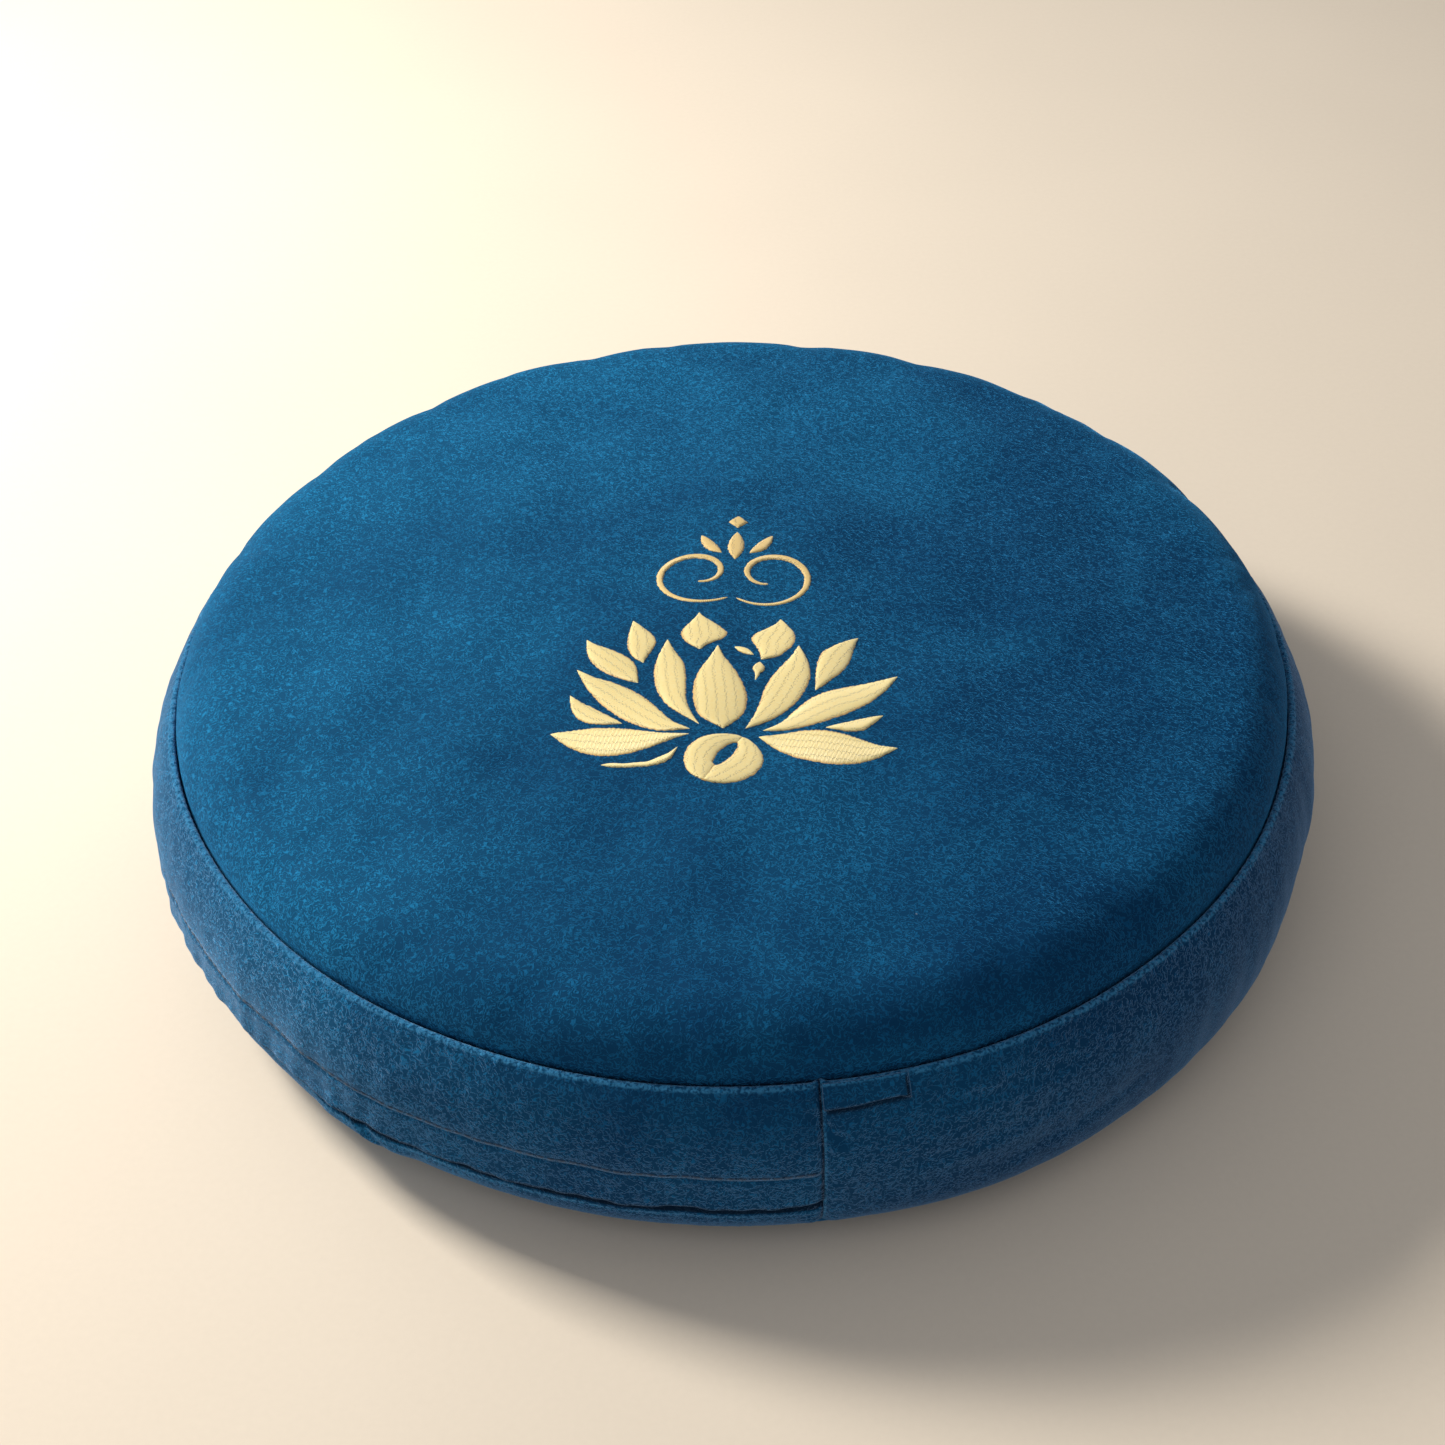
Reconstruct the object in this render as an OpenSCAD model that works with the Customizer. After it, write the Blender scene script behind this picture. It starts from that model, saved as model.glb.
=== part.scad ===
// Round floor cushion: a boxed velvet cover with a lapped zip, an embroidered top panel
// and a sewn inner case full of hulls. Millimetres, +Z up, origin on the floor under the centre.
// The front, -Y, carries a joint seam a little to the right, and the zip runs from it to the left.

/* [Cover] */
// Radius of the top and bottom seams
seam_r = 190; // [150:1:240]
// How far the side band swells out beyond the seams
band_bulge = 9.5; // [7:0.5:16]
// Height of the bottom seam above the floor
bottom_seam_z = 12; // [9:0.5:16]
// Height of the side band from seam to seam
band_h = 57; // [52:1:90]
// Radius of the gentle dome of the top panel
dome_r = 1700; // [800:10:2400]
// Width of the rolled edge of the top panel
edge_roll = 20; // [16:1:34]
// Thickness of the velvet
cover_t = 1.2; // [0.8:0.1:1.4]
// Depth of the seam allowances
allowance = 9; // [6:0.5:10]

/* [Zip] */
// Direction of the front joint seam, from +X, counter-clockwise, as seen from above
front_joint_deg = 276.5; // [272:0.5:286]
// Arc of the cover that the zip band takes
zip_arc_deg = 130; // [90:1:160]
// Height of the zip's centre line above the floor
zip_z = 34; // [33:0.5:36]
// Width of the flap that laps over the zip
flap_w = 12.7; // [11:0.1:13.5]
// Depth of the zip's centre line below the fullest part of the band
zip_depth = 7.4; // [7.2:0.1:8.5]
// Diameter of each nylon coil
coil_d = 1.6; // [1.2:0.1:1.8]
// Slot between the two coils, in which the slider's post runs
coil_slot = 1.7; // [1.6:0.1:2]
// Length of the slider
slider_len = 10; // [8:0.5:12]
// Length of the pull tab, from its pivot
pull_len = 22; // [16:1:26]
// Width of the pull tab
pull_w = 4; // [3.6:0.2:4.4]
// Free zip chain left beyond the slider at each end of its travel
end_room = 26; // [24:1:40]

/* [Inner cushion] */
// Play between the cover's seams and the inner case's seams
case_play = 9; // [7:0.5:14]
// Clearance between the zip's slider and the fullest part of the inner case
case_clear = 1.85; // [0.6:0.05:3]
// Clear height between the cover's seams and the inner case's seams
case_drop = 5; // [4:0.5:8]
// Thickness of the inner case's cotton
case_t = 0.8; // [0.5:0.1:1.2]
// Length of the hand-sewn closing of the inner case
closing_len = 110; // [80:5:150]

/* [Embroidery] */
// Place of the lotus's heart on the top panel, left to right
heart_x = -4; // [-20:1:20]
// Place of the lotus's heart on the top panel, front to back
heart_y = -65; // [-80:1:-50]
// Turn of the motif about its heart
motif_turn = -4; // [-15:1:15]
// Size of the motif, where 1 is a lotus 110 wide
motif_scale = 1; // [0.7:0.05:1.2]
// Height of the satin stitch above the velvet
satin_h = 0.7; // [0.4:0.1:1.2]

/* [Thread] */
// Diameter of the sewing thread
thread_d = 0.6; // [0.4:0.1:0.8]
// Gap kept between pieces that lie against each other
lay_gap = 0.05; // [0.03:0.01:0.1]
// Running clearance of the slider and the pull tab
run_gap = 0.25; // [0.2:0.01:0.3]

/* [Hidden] */

$fn = 180;
edge_slope = 86;        // slope of the top panel where it meets its seam
base_slope = 78;        // slope of the bottom panel where it meets its seam
arc_steps = 18;         // steps along the band's profile
dome_steps = 14;        // steps along the dome, and along each roll
plate_t = 0.8;          // slider's plates
tape_t = 0.4;           // woven zip tape
tape_reach = 6;         // how far each tape runs into its seam
bail_t = 0.7;           // slider's bridge
bail_w = 1.4;
pivot_r = 0.45;         // cross-bar of the pull tab
flap_edge = 0.4;        // rounding of the flap's lower edge
pull_lean = 2.5;        // lean of the resting pull tab towards the zip
eye_len = 3.4;          // pull tab's eye, from its pivot
rail_w = 0.8;           // the eye's side rails
tongue_t = 0.8;         // thickness of the pull tab
plate_in_t = 0.75;      // slider's inner plate
plate_corner = 1.6;     // rounding of the plates
lip_t = 0.7;            // slider's lips
lip_gap = 0.3;          // clearance between a lip and its coil
pivot_gap = 0.4;        // clearance under the pull tab's cross-bar
bail_gap = 0.3;         // clearance over it
post_h = 1.2;           // post between the coils
flap_rise = 7;          // the topstitch fold lies this far above the zip's centre line
flap_gap = 0.5;         // clearance between the bridge and the flap
fold_gap = 0.45;        // clearance between the slider and the folded edge of the strip below it
strip_rise = 6;         // straight part of that strip
fold_round = 0.6;       // rounding of its folded edge
stitch_rise = 2.2;      // its stitch line, from where the strip leaves the band's curve
chain_start = 9;        // degrees from each joint seam to the coiled chain
chain_stop = 2;
rest_shift = 2.4;       // degrees that trim where the slider's travel starts and ends
open_shift = 0.6;
stitch_depth = 1.2;     // depth of the joint seams' thread behind the cloth
hidden_wall = 0.1;      // overlap that makes two parts of one piece one solid
thread_r = thread_d / 2;
groove_r = thread_r + lay_gap;
heart = [heart_x, heart_y];
velvet = [0.08, 0.33, 0.55];
cotton = [0.90, 0.87, 0.80];
gold = [0.96, 0.82, 0.42];
navy = [0.07, 0.22, 0.40];
metal = [0.70, 0.71, 0.73];

// A side profile is the arc [centre r, centre z, radius, half angle] from one seam to the other.
function side(r, z0, z1, swell) =
    let (h = (z1 - z0) / 2, rad = (h * h + swell * swell) / (2 * swell))
    [r + swell - rad, (z0 + z1) / 2, rad, asin(h / rad)];
function side_at(s, inset, a) = [s[0] + (s[2] - inset) * cos(a), s[1] + (s[2] - inset) * sin(a)];
function side_arc(s, inset, a0, a1) =
    [for (i = [0:arc_steps]) side_at(s, inset, a0 + (a1 - a0) * i / arc_steps)];
function side_angle(s, z) = asin((z - s[1]) / s[2]);

// A dome is [radius, centre z, dome angle, roll centre r, roll centre z, roll radius].
function dome(end, roll, rad) =
    let (
        a = asin((end[0] - roll) / rad),
        rho = roll / (sin(edge_slope) - sin(a)),
        zc = end[1] - rho * cos(edge_slope) - (rad - rho) * cos(a)
    )
    [rad, zc, a, (rad - rho) * sin(a), zc + (rad - rho) * cos(a), rho];
function dome_pts(d, inset) = concat(
    [for (i = [0:dome_steps])
        let (a = d[2] * i / dome_steps)
        [(d[0] - inset) * sin(a), d[1] + (d[0] - inset) * cos(a)]],
    [for (i = [1:dome_steps])
        let (a = d[2] + (edge_slope - d[2]) * i / dome_steps)
        [d[3] + (d[5] - inset) * sin(a), d[4] + (d[5] - inset) * cos(a)]]
);

// A base is [flat radius, roll radius, floor height]: flat on the floor, then rolled up to its seam.
function base(end, floor_z) =
    let (rho = (end[1] - floor_z) / (1 - cos(base_slope)))
    [end[0] - rho * sin(base_slope), rho, floor_z];
function base_pts(b, inset) = concat(
    [[0, b[2] + inset]],
    [for (i = [0:dome_steps])
        let (a = base_slope * i / dome_steps)
        [b[0] + (b[1] - inset) * sin(a), b[2] + b[1] - (b[1] - inset) * cos(a)]]
);
function rev(list) = [for (i = [len(list) - 1:-1:0]) list[i]];

top_seam_z = bottom_seam_z + band_h;
cover_side = side(seam_r, bottom_seam_z, top_seam_z, band_bulge);
tilt = cover_side[3];                            // angle of the seams on the band's arc
hem = 2 * cover_t;                               // folded edge of the band
flange0 = hem + lay_gap;                         // a panel's allowance lies inside that fold
flange1 = flange0 + cover_t;
allow_a = allowance / cover_side[2] * 180 / PI;
cover_dome = dome(side_at(cover_side, flange0, tilt), edge_roll, dome_r);
cover_base = base(side_at(cover_side, flange0, -tilt), 0);

// Round the zip, radii count from the axis.
full_r = seam_r + band_bulge;
zip_r = full_r - zip_depth;
coil_r = coil_d / 2;
tape_in = zip_r - coil_r - tape_t - lay_gap;
plate_out0 = zip_r + coil_r + run_gap;
plate_in1 = tape_in - run_gap;
plate_in0 = plate_in1 - plate_in_t;
slider_half = coil_slot / 2 + coil_d + lip_gap + lip_t;
lip_in = slider_half - lip_t;
pivot_at = plate_out0 + plate_t + pivot_r + pivot_gap;
bail_in = pivot_at + pivot_r + bail_gap;
flap_top_z = zip_z + flap_rise;
flap_low_z = flap_top_z - flap_w;
flap_in = bail_in + bail_t + flap_gap;
fold_z = zip_z - slider_half - fold_gap;
strip_turn_z = fold_z - strip_rise;
strip_turn_a = side_angle(cover_side, strip_turn_z);
strip_r = min(side_at(cover_side, 0, strip_turn_a)[0], flap_in - flap_edge / 2 - run_gap);
flap_a = side_angle(cover_side, flap_top_z);
tape_root = 2 * cover_t + 2 * lay_gap;           // the upper tape lies behind band and flap

// The inner case fills the cover as far as the slider's inner plate allows.
case_seam_r = seam_r - case_play;
case_bulge = plate_in0 - case_clear - case_seam_r;
case_side = side(case_seam_r, bottom_seam_z + case_drop, top_seam_z - case_drop, case_bulge);
case_hem = 2 * case_t;
case_flange0 = case_hem + lay_gap;
case_flange1 = case_flange0 + case_t;
case_tilt = case_side[3];
case_allow_a = allowance / case_side[2] * 180 / PI;
case_floor_z = 2 * cover_t;
case_dome = dome(side_at(case_side, case_flange0, case_tilt), edge_roll, dome_r);
case_base = base(side_at(case_side, case_flange0, -case_tilt), case_floor_z);
backing_t = 0.3;

rear_joint_deg = front_joint_deg - zip_arc_deg;
mm_deg = 180 / PI / zip_r;                       // degrees of zip for a millimetre of length
chain0 = rear_joint_deg + chain_start;           // ends of the coiled chain
chain1 = front_joint_deg - chain_stop;
slider_rest_deg = rear_joint_deg + (end_room + slider_len / 2) * mm_deg + rest_shift;
slider_open_deg = front_joint_deg - end_room * mm_deg - open_shift;
slider_half_deg = slider_len / 2 * mm_deg;

module turned(a0, a1) {
    rotate_extrude(angle = a1 - a0, start = a0) children();
}
// Thread laid along the band at a given depth, at the angle a of the band's arc.
module seam_ring(s, inset, a, rad) {
    translate([0, 0, side_at(s, inset, a)[1]])
        rotate_extrude() translate([side_at(s, inset, a)[0], 0]) circle(r = rad, $fn = 24);
}
module seam_arc(s, inset, a, rad, from, to) {
    translate([0, 0, side_at(s, inset, a)[1]])
        rotate_extrude(angle = to - from, start = from)
            translate([side_at(s, inset, a)[0], 0]) circle(r = rad, $fn = 24);
}
// Panel edges: the outer face, then the allowance turned in beside the band.
module top_profile(d, s, t, f0, f1, a) {
    polygon(concat(
        dome_pts(d, 0), side_arc(s, f0, s[3], s[3] - a),
        side_arc(s, f1, s[3] - a, s[3]), rev(dome_pts(d, t))
    ));
}
module base_profile(b, s, t, f0, f1, a) {
    polygon(concat(
        base_pts(b, 0), side_arc(s, f0, -s[3], -s[3] + a),
        side_arc(s, f1, -s[3] + a, -s[3]), rev(base_pts(b, t))
    ));
}
// The band: one layer of cloth, doubled where its edges are turned in at the seams.
module band_profile(s, t, h, a) {
    polygon(concat(
        side_arc(s, 0, -s[3], s[3]), side_arc(s, h, s[3], s[3] - a),
        side_arc(s, t, s[3] - a, -s[3] + a), side_arc(s, h, -s[3] + a, -s[3])
    ));
}
top_thread_a = tilt - 2.5;
module top_groove() { seam_ring(cover_side, hem + lay_gap / 2, top_thread_a, groove_r); }
module bottom_groove() { seam_ring(cover_side, hem + lay_gap / 2, -top_thread_a, groove_r); }

// Joint seam: an upright allowance turned in beside the joint, with its thread through both.
joint_depth = 5;
groove_room = 0.55;      // degrees that a groove runs on beyond its thread
joint_reach = tilt - allow_a - 1;
module joint_wall(from, to, a0, a1) {
    turned(from, to)
        polygon(concat(
            side_arc(cover_side, cover_t - hidden_wall, a0, a1),
            side_arc(cover_side, joint_depth, a1, a0)
        ));
}
module joint_line(deg, rad, reach) {
    rotate([0, 0, deg]) translate([cover_side[0], 0, cover_side[1]]) rotate([90, 0, 0])
        rotate_extrude(angle = 2 * reach, start = -reach)
            translate([cover_side[2] - cover_t - stitch_depth, 0]) circle(r = rad, $fn = 24);
}
module joint_grooves() {
    joint_line(front_joint_deg, groove_r, joint_reach + groove_room);
    joint_line(rear_joint_deg, groove_r, joint_reach + groove_room);
}
wall_deg = cover_t / full_r * 180 / PI;
side_gap_deg = lay_gap / full_r * 180 / PI;

module top_panel() {
    color(velvet) difference() {
        rotate_extrude() top_profile(cover_dome, cover_side, cover_t, flange0, flange1, allow_a);
        top_groove();
    }
}
module bottom_panel() {
    color(velvet) difference() {
        rotate_extrude() base_profile(cover_base, cover_side, cover_t, flange0, flange1, allow_a);
        bottom_groove();
    }
}
// The plain stretch of the band, with the fold that takes up its spare cloth beside the front joint.
tuck_from = 2;
tuck_to = 9.5;
tuck_low = 10;
module plain_band() {
    color(velvet) difference() {
        union() {
            turned(front_joint_deg - 360, rear_joint_deg) band_profile(cover_side, cover_t, hem, allow_a);
            joint_wall(front_joint_deg - 360, front_joint_deg - 360 + wall_deg, -joint_reach, joint_reach);
            joint_wall(rear_joint_deg - wall_deg, rear_joint_deg, -joint_reach, joint_reach);
            turned(front_joint_deg - 360 + tuck_from, front_joint_deg - 360 + tuck_to)
                polygon(concat(
                    side_arc(cover_side, -cover_t, tilt - 1, tilt - tuck_low),
                    side_arc(cover_side, hidden_wall, tilt - tuck_low, tilt - 1)
                ));
        }
        top_groove();
        bottom_groove();
        joint_grooves();
    }
}
wall_from = 9;          // degrees up the band's arc where the upper strip's turned allowance starts
module zip_band_upper() {
    color(velvet) difference() {
        union() {
            turned(rear_joint_deg + side_gap_deg, front_joint_deg - side_gap_deg)
                polygon(concat(
                    side_arc(cover_side, 0, flap_a, tilt), side_arc(cover_side, hem, tilt, tilt - allow_a),
                    side_arc(cover_side, cover_t, tilt - allow_a, flap_a)
                ));
            for (from = [rear_joint_deg + side_gap_deg, front_joint_deg - side_gap_deg - wall_deg])
                joint_wall(from, from + wall_deg, flap_a + wall_from, joint_reach);
        }
        top_groove();
        seam_arc(cover_side, thread_r, flap_a + 1, groove_r, rear_joint_deg - 1, front_joint_deg + 1);
        joint_grooves();
    }
}
// The strip under the zip: it leaves the band's curve, runs straight up and is folded back.
module zip_band_lower() {
    color(velvet) difference() {
        turned(rear_joint_deg + side_gap_deg, front_joint_deg - side_gap_deg)
            polygon(concat(
                side_arc(cover_side, 0, -tilt, strip_turn_a),
                [[strip_r, strip_turn_z + 1], [strip_r, fold_z - fold_round]],
                [[strip_r - fold_round, fold_z], [strip_r - hem + fold_round, fold_z]],
                [[strip_r - hem, fold_z - fold_round], [strip_r - hem, strip_turn_z]],
                side_arc(cover_side, cover_t, strip_turn_a, -tilt + allow_a),
                side_arc(cover_side, hem, -tilt + allow_a, -tilt)
            ));
        bottom_groove();
        joint_grooves();
        translate([0, 0, strip_turn_z + stitch_rise])
            turned(rear_joint_deg - 1, front_joint_deg + 1)
                translate([strip_r - thread_r, 0]) circle(r = groove_r, $fn = 24);
    }
}
// The doubled flap that hides the zip: its root is caught behind the upper band by the topstitch.
flap_root_a = 6;
flap_lean = 0.3;
module zip_flap() {
    root = side_at(cover_side, cover_t + lay_gap, flap_a);
    color(velvet) difference() {
        turned(rear_joint_deg + side_gap_deg, front_joint_deg - side_gap_deg)
            polygon(concat(
                [[flap_in - flap_edge / 2, flap_low_z + flap_lean], [flap_in + flap_edge / 2, flap_low_z]],
                [[full_r - 4 * flap_edge, flap_low_z], [full_r - 2 * flap_edge, flap_low_z + 0.5]],
                [[full_r - flap_lean, zip_z - 2], [full_r, zip_z + 3], [full_r, flap_top_z - lay_gap]],
                [[root[0], flap_top_z - lay_gap]],
                side_arc(cover_side, cover_t + lay_gap, flap_a + 0.2, flap_a + flap_root_a),
                side_arc(cover_side, 2 * cover_t + lay_gap, flap_a + flap_root_a, flap_a),
                [[flap_in, zip_z + slider_half], [flap_in, zip_z - 2]]
            ));
        joint_grooves();
    }
}
// Woven tapes: under the coil, then out to the cloth that each is sewn to.
module zip_tape_upper() {
    reach_a = tape_reach / cover_side[2] * 180 / PI;
    lift = zip_z + slider_half + 0.5;
    out0 = side_arc(cover_side, tape_root, flap_a, flap_a + reach_a);
    out1 = side_arc(cover_side, tape_root + tape_t, flap_a + reach_a, flap_a + 1);
    color(navy)
        turned(rear_joint_deg + wall_deg * 2, front_joint_deg - wall_deg * 2)
            polygon(concat(
                [[tape_in, zip_z + coil_slot / 2], [tape_in + tape_t, zip_z + coil_slot / 2]],
                [[tape_in + tape_t, lift]], out0, out1, [[tape_in, lift + 0.3]]
            ));
}
module zip_tape_lower() {
    drop = zip_z - slider_half - 0.3;
    hem_in = strip_r - hem - lay_gap;
    color(navy)
        turned(rear_joint_deg + wall_deg * 2, front_joint_deg - wall_deg * 2)
            polygon([
                [tape_in, zip_z - coil_slot / 2], [tape_in + tape_t, zip_z - coil_slot / 2],
                [tape_in + tape_t, drop], [hem_in, fold_z - 2.4], [hem_in, fold_z - tape_reach],
                [hem_in - tape_t, fold_z - tape_reach], [hem_in - tape_t, fold_z - 2.2],
                [tape_in, drop - 0.2]
            ]);
}
module coil(up) {
    color(navy) translate([0, 0, zip_z + up * (coil_slot / 2 + coil_r)])
        turned(chain0, chain1) translate([zip_r, 0]) circle(r = coil_r, $fn = 32);
}
module zip_coil_upper() { coil(1); }
module zip_coil_lower() { coil(-1); }
// A bar of close stitches locks the coils together at each end.
tack_deg = 1.1;
module zip_bar_tacks() {
    color(navy) for (from = [chain0 - tack_deg - 0.05, chain1 + 0.05])
        translate([0, 0, zip_z]) turned(from, from + tack_deg)
            translate([zip_r, 0]) square([coil_d, 2 * coil_d + coil_slot], center = true);
}
// The slider: two plates joined by a post between the coils, lips round the coils, and a bridge.
module slider_outline() {
    corner = plate_corner;
    x = slider_len / 2 - corner;
    y = slider_half - corner;
    square([2 * x, 2 * slider_half], center = true);
    square([slider_len, 2 * y], center = true);
    for (i = [-1, 1], j = [-1, 1]) translate([i * x, j * y]) circle(r = corner, $fn = 32);
}
module zip_slider() {
    half = slider_half_deg;
    lip_from = tape_in + tape_t + run_gap;
    color(metal) rotate([0, 0, slider_rest_deg]) {
        intersection() {
            translate([0, 0, zip_z]) turned(-half, half) {
                translate([plate_out0, -slider_half]) square([plate_t, 2 * slider_half]);
                translate([plate_in0, -slider_half]) square([plate_in1 - plate_in0, 2 * slider_half]);
                for (side = [-1, 1])
                    translate([lip_from, side > 0 ? lip_in : -slider_half])
                        square([plate_out0 - lip_from + hidden_wall, lip_t]);
            }
            translate([zip_r - 6, 0, zip_z]) rotate([90, 0, 90]) linear_extrude(14) slider_outline();
        }
        translate([0, 0, zip_z]) turned(-half * 0.8, -half * 0.35)
            translate([plate_in0, -post_h / 2]) square([plate_out0 + plate_t - plate_in0, post_h]);
        slider_bridge();
    }
}
module slider_bridge() {
    leg = eye_len - 0.8;
    foot = plate_out0 + plate_t - 0.3;
    translate([0, 0, zip_z - bail_w / 2]) linear_extrude(bail_w) difference() {
        translate([foot, -leg]) square([bail_in + bail_t - foot, 2 * leg]);
        translate([foot - 1, -leg + 0.8]) square([bail_in - foot + 1, 2 * leg - 1.6]);
        for (j = [-1, 1]) translate([bail_in + bail_t, j * leg]) rotate(45) square(0.9, center = true);
    }
}
// The pull tab: a cross-bar under the slider's bridge, an eye round it and a flat tongue.
module zip_pull() {
    tongue = pull_len - eye_len - pull_w / 2;
    place = [pivot_at, 0, zip_z];
    color(metal) rotate([0, 0, slider_rest_deg]) translate(place) rotate([0, 0, -pull_lean]) {
        translate([0, 0, -pull_w / 2]) cylinder(r = pivot_r, h = pull_w, $fn = 48);
        for (j = [-1, 1])
            translate([-tongue_t / 2, -eye_len - hidden_wall, j > 0 ? pull_w / 2 - rail_w : -pull_w / 2])
                cube([tongue_t, eye_len + hidden_wall, rail_w]);
        difference() {
            union() {
                translate([-tongue_t / 2, -eye_len - tongue, -pull_w / 2]) cube([tongue_t, tongue, pull_w]);
                translate([-tongue_t / 2, -eye_len - tongue, 0]) rotate([0, 90, 0])
                    cylinder(d = pull_w, h = tongue_t, $fn = 48);
            }
            translate([-1, -eye_len - tongue, 0]) rotate([0, 90, 0]) cylinder(d = 1.8, h = 2, $fn = 32);
        }
    }
}

module top_seam_thread() {
    color(velvet) seam_ring(cover_side, hem + lay_gap / 2, top_thread_a, thread_r);
}
module bottom_seam_thread() {
    color(velvet) seam_ring(cover_side, hem + lay_gap / 2, -top_thread_a, thread_r);
}
module front_joint_thread() { color(velvet) joint_line(front_joint_deg, thread_r, joint_reach); }
module rear_joint_thread() { color(velvet) joint_line(rear_joint_deg, thread_r, joint_reach); }
module flap_topstitch() {
    color(velvet)
        seam_arc(cover_side, thread_r, flap_a + 1, thread_r, rear_joint_deg + 0.3, front_joint_deg - 0.3);
}
module lower_zip_stitch() {
    color(velvet) translate([0, 0, strip_turn_z + stitch_rise])
        turned(rear_joint_deg + 0.3, front_joint_deg - 0.3)
        translate([strip_r - thread_r, 0]) circle(r = thread_r, $fn = 24);
}

// Embroidery. A petal runs from root to tip. Its left and right edges stand off that line by the
// listed amounts at each seventh of the length, and run smoothly between them.
function edge_at(list, t) =
    let (
        e = concat(-list[0], 0, list, 0, -list[5]),
        i = min(floor(t * 7), 6), f = t * 7 - i,
        a = e[i], b = e[i + 1], c = e[i + 2], d = e[i + 3]
    )
    b + 0.5 * f * ((c - a) + f * ((2 * a - 5 * b + 4 * c - d) + f * (3 * b - a - 3 * c + d)));
function petal(root, tip, left, right) =
    let (n = 14, u = (tip - root) / norm(tip - root), v = [-u[1], u[0]])
    [for (i = [0:2 * n - 1])
        let (t = (i <= n ? i : 2 * n - i) / n)
        root + (tip - root) * t + v * edge_at(i <= n ? left : right, t)];
function flip(list) = [for (i = [len(list) - 1:-1:0]) [-list[i][0], list[i][1]]];
// A scroll's centre line winds in from the stem; its stroke is fullest halfway.
scroll_c = [12, 78];
function scroll_at(t) =
    let (a = -130 + 400 * t, r = 17 - 12.5 * t)
    scroll_c + r * [cos(a), sin(a)];
function scroll() =
    let (n = 26)
    [for (i = [0:2 * n + 1])
        let (
            t = (i <= n ? i : 2 * n + 1 - i) / n, s = i <= n ? -1 : 1,
            d = scroll_at(t + 0.01) - scroll_at(t - 0.01), u = d / norm(d)
        )
        scroll_at(t) + s * (0.45 + 0.9 * sin(180 * t)) * [-u[1], u[0]]];
module satin() {
    base_out = lay_gap;
    intersection() {
        rotate_extrude() polygon(concat(
            [for (i = [0:dome_steps]) let (a = cover_dome[2] * i / dome_steps, r = dome_r + base_out)
                [r * sin(a), cover_dome[1] + r * cos(a)]],
            [for (i = [dome_steps:-1:0])
                let (a = cover_dome[2] * i / dome_steps, r = dome_r + base_out + satin_h)
                [r * sin(a), cover_dome[1] + r * cos(a)]]
        ));
        translate([heart[0], heart[1], cover_dome[1] + dome_r - 60])
            rotate([0, 0, motif_turn]) linear_extrude(80) scale(motif_scale) children();
    }
}
module pair_of(list) {
    polygon(list);
    polygon(flip(list));
}
module lotus_centre_petal() {
    color(gold) satin() polygon(petal([0.6, -0.6], [-3.3, 40.4],
        [7.4, 9.2, 9.4, 8.6, 6.4, 2.9], [-6.3, -8.4, -8.5, -7, -4.7, -1.9]));
}
module lotus_inner_petals() {
    color(gold) satin() {
        polygon(petal([-6.6, 0.3], [-20, 43.1],
            [4.6, 8, 9.4, 9.2, 7.7, 4.4], [1.2, 1.2, -0.2, -1.8, -2.4, -1]));
        polygon(petal([7.3, 0.2], [23.2, 40.8],
            [0, 0.8, 2, 2.4, 1.7, 0.4], [-5, -8.4, -10.2, -10.6, -9.5, -6]));
    }
}
module lotus_long_petals() {
    color(gold) satin() {
        polygon(petal([-9.4, -1.5], [-48.6, 27],
            [6, 8.3, 9, 8.5, 6.9, 4], [0.5, -1.4, -3.3, -3.9, -2.8, -0.6]));
        polygon(petal([12.5, -0.1], [55.7, 28],
            [0.4, 3.2, 5.4, 5, 3.3, 1.5], [-3.9, -5.9, -6.9, -7.1, -6.4, -4.1]));
    }
}
module lotus_lower_petals() {
    color(gold) satin() {
        polygon(petal([-9.3, -3.5], [-54.2, -2.6],
            [3, 6.4, 9.1, 10.3, 9.5, 6], [-0.1, -1.1, -2.5, -3.1, -2.7, -1.4]));
        polygon(petal([11.6, -2.8], [55.7, -5.3],
            [2, 4.3, 5.5, 4.9, 3, 0.8], [-5.4, -8.7, -10, -10.1, -8.5, -5.1]));
    }
}
module lotus_side_slips() {
    color(gold) satin() {
        polygon(petal([-31.2, 1.7], [-49.5, 14.9],
            [2.9, 5.2, 6.7, 7, 5.9, 3.4], [-0.2, -0.2, -0.2, -0.1, 0.2, 0.3]));
        polygon(petal([32.3, 2.4], [51.2, 8.9],
            [0.2, 0.4, 0.6, 0.7, 0.6, 0.4], [-1.8, -3.4, -4.4, -4.7, -3.4, -1.8]));
    }
}
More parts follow.
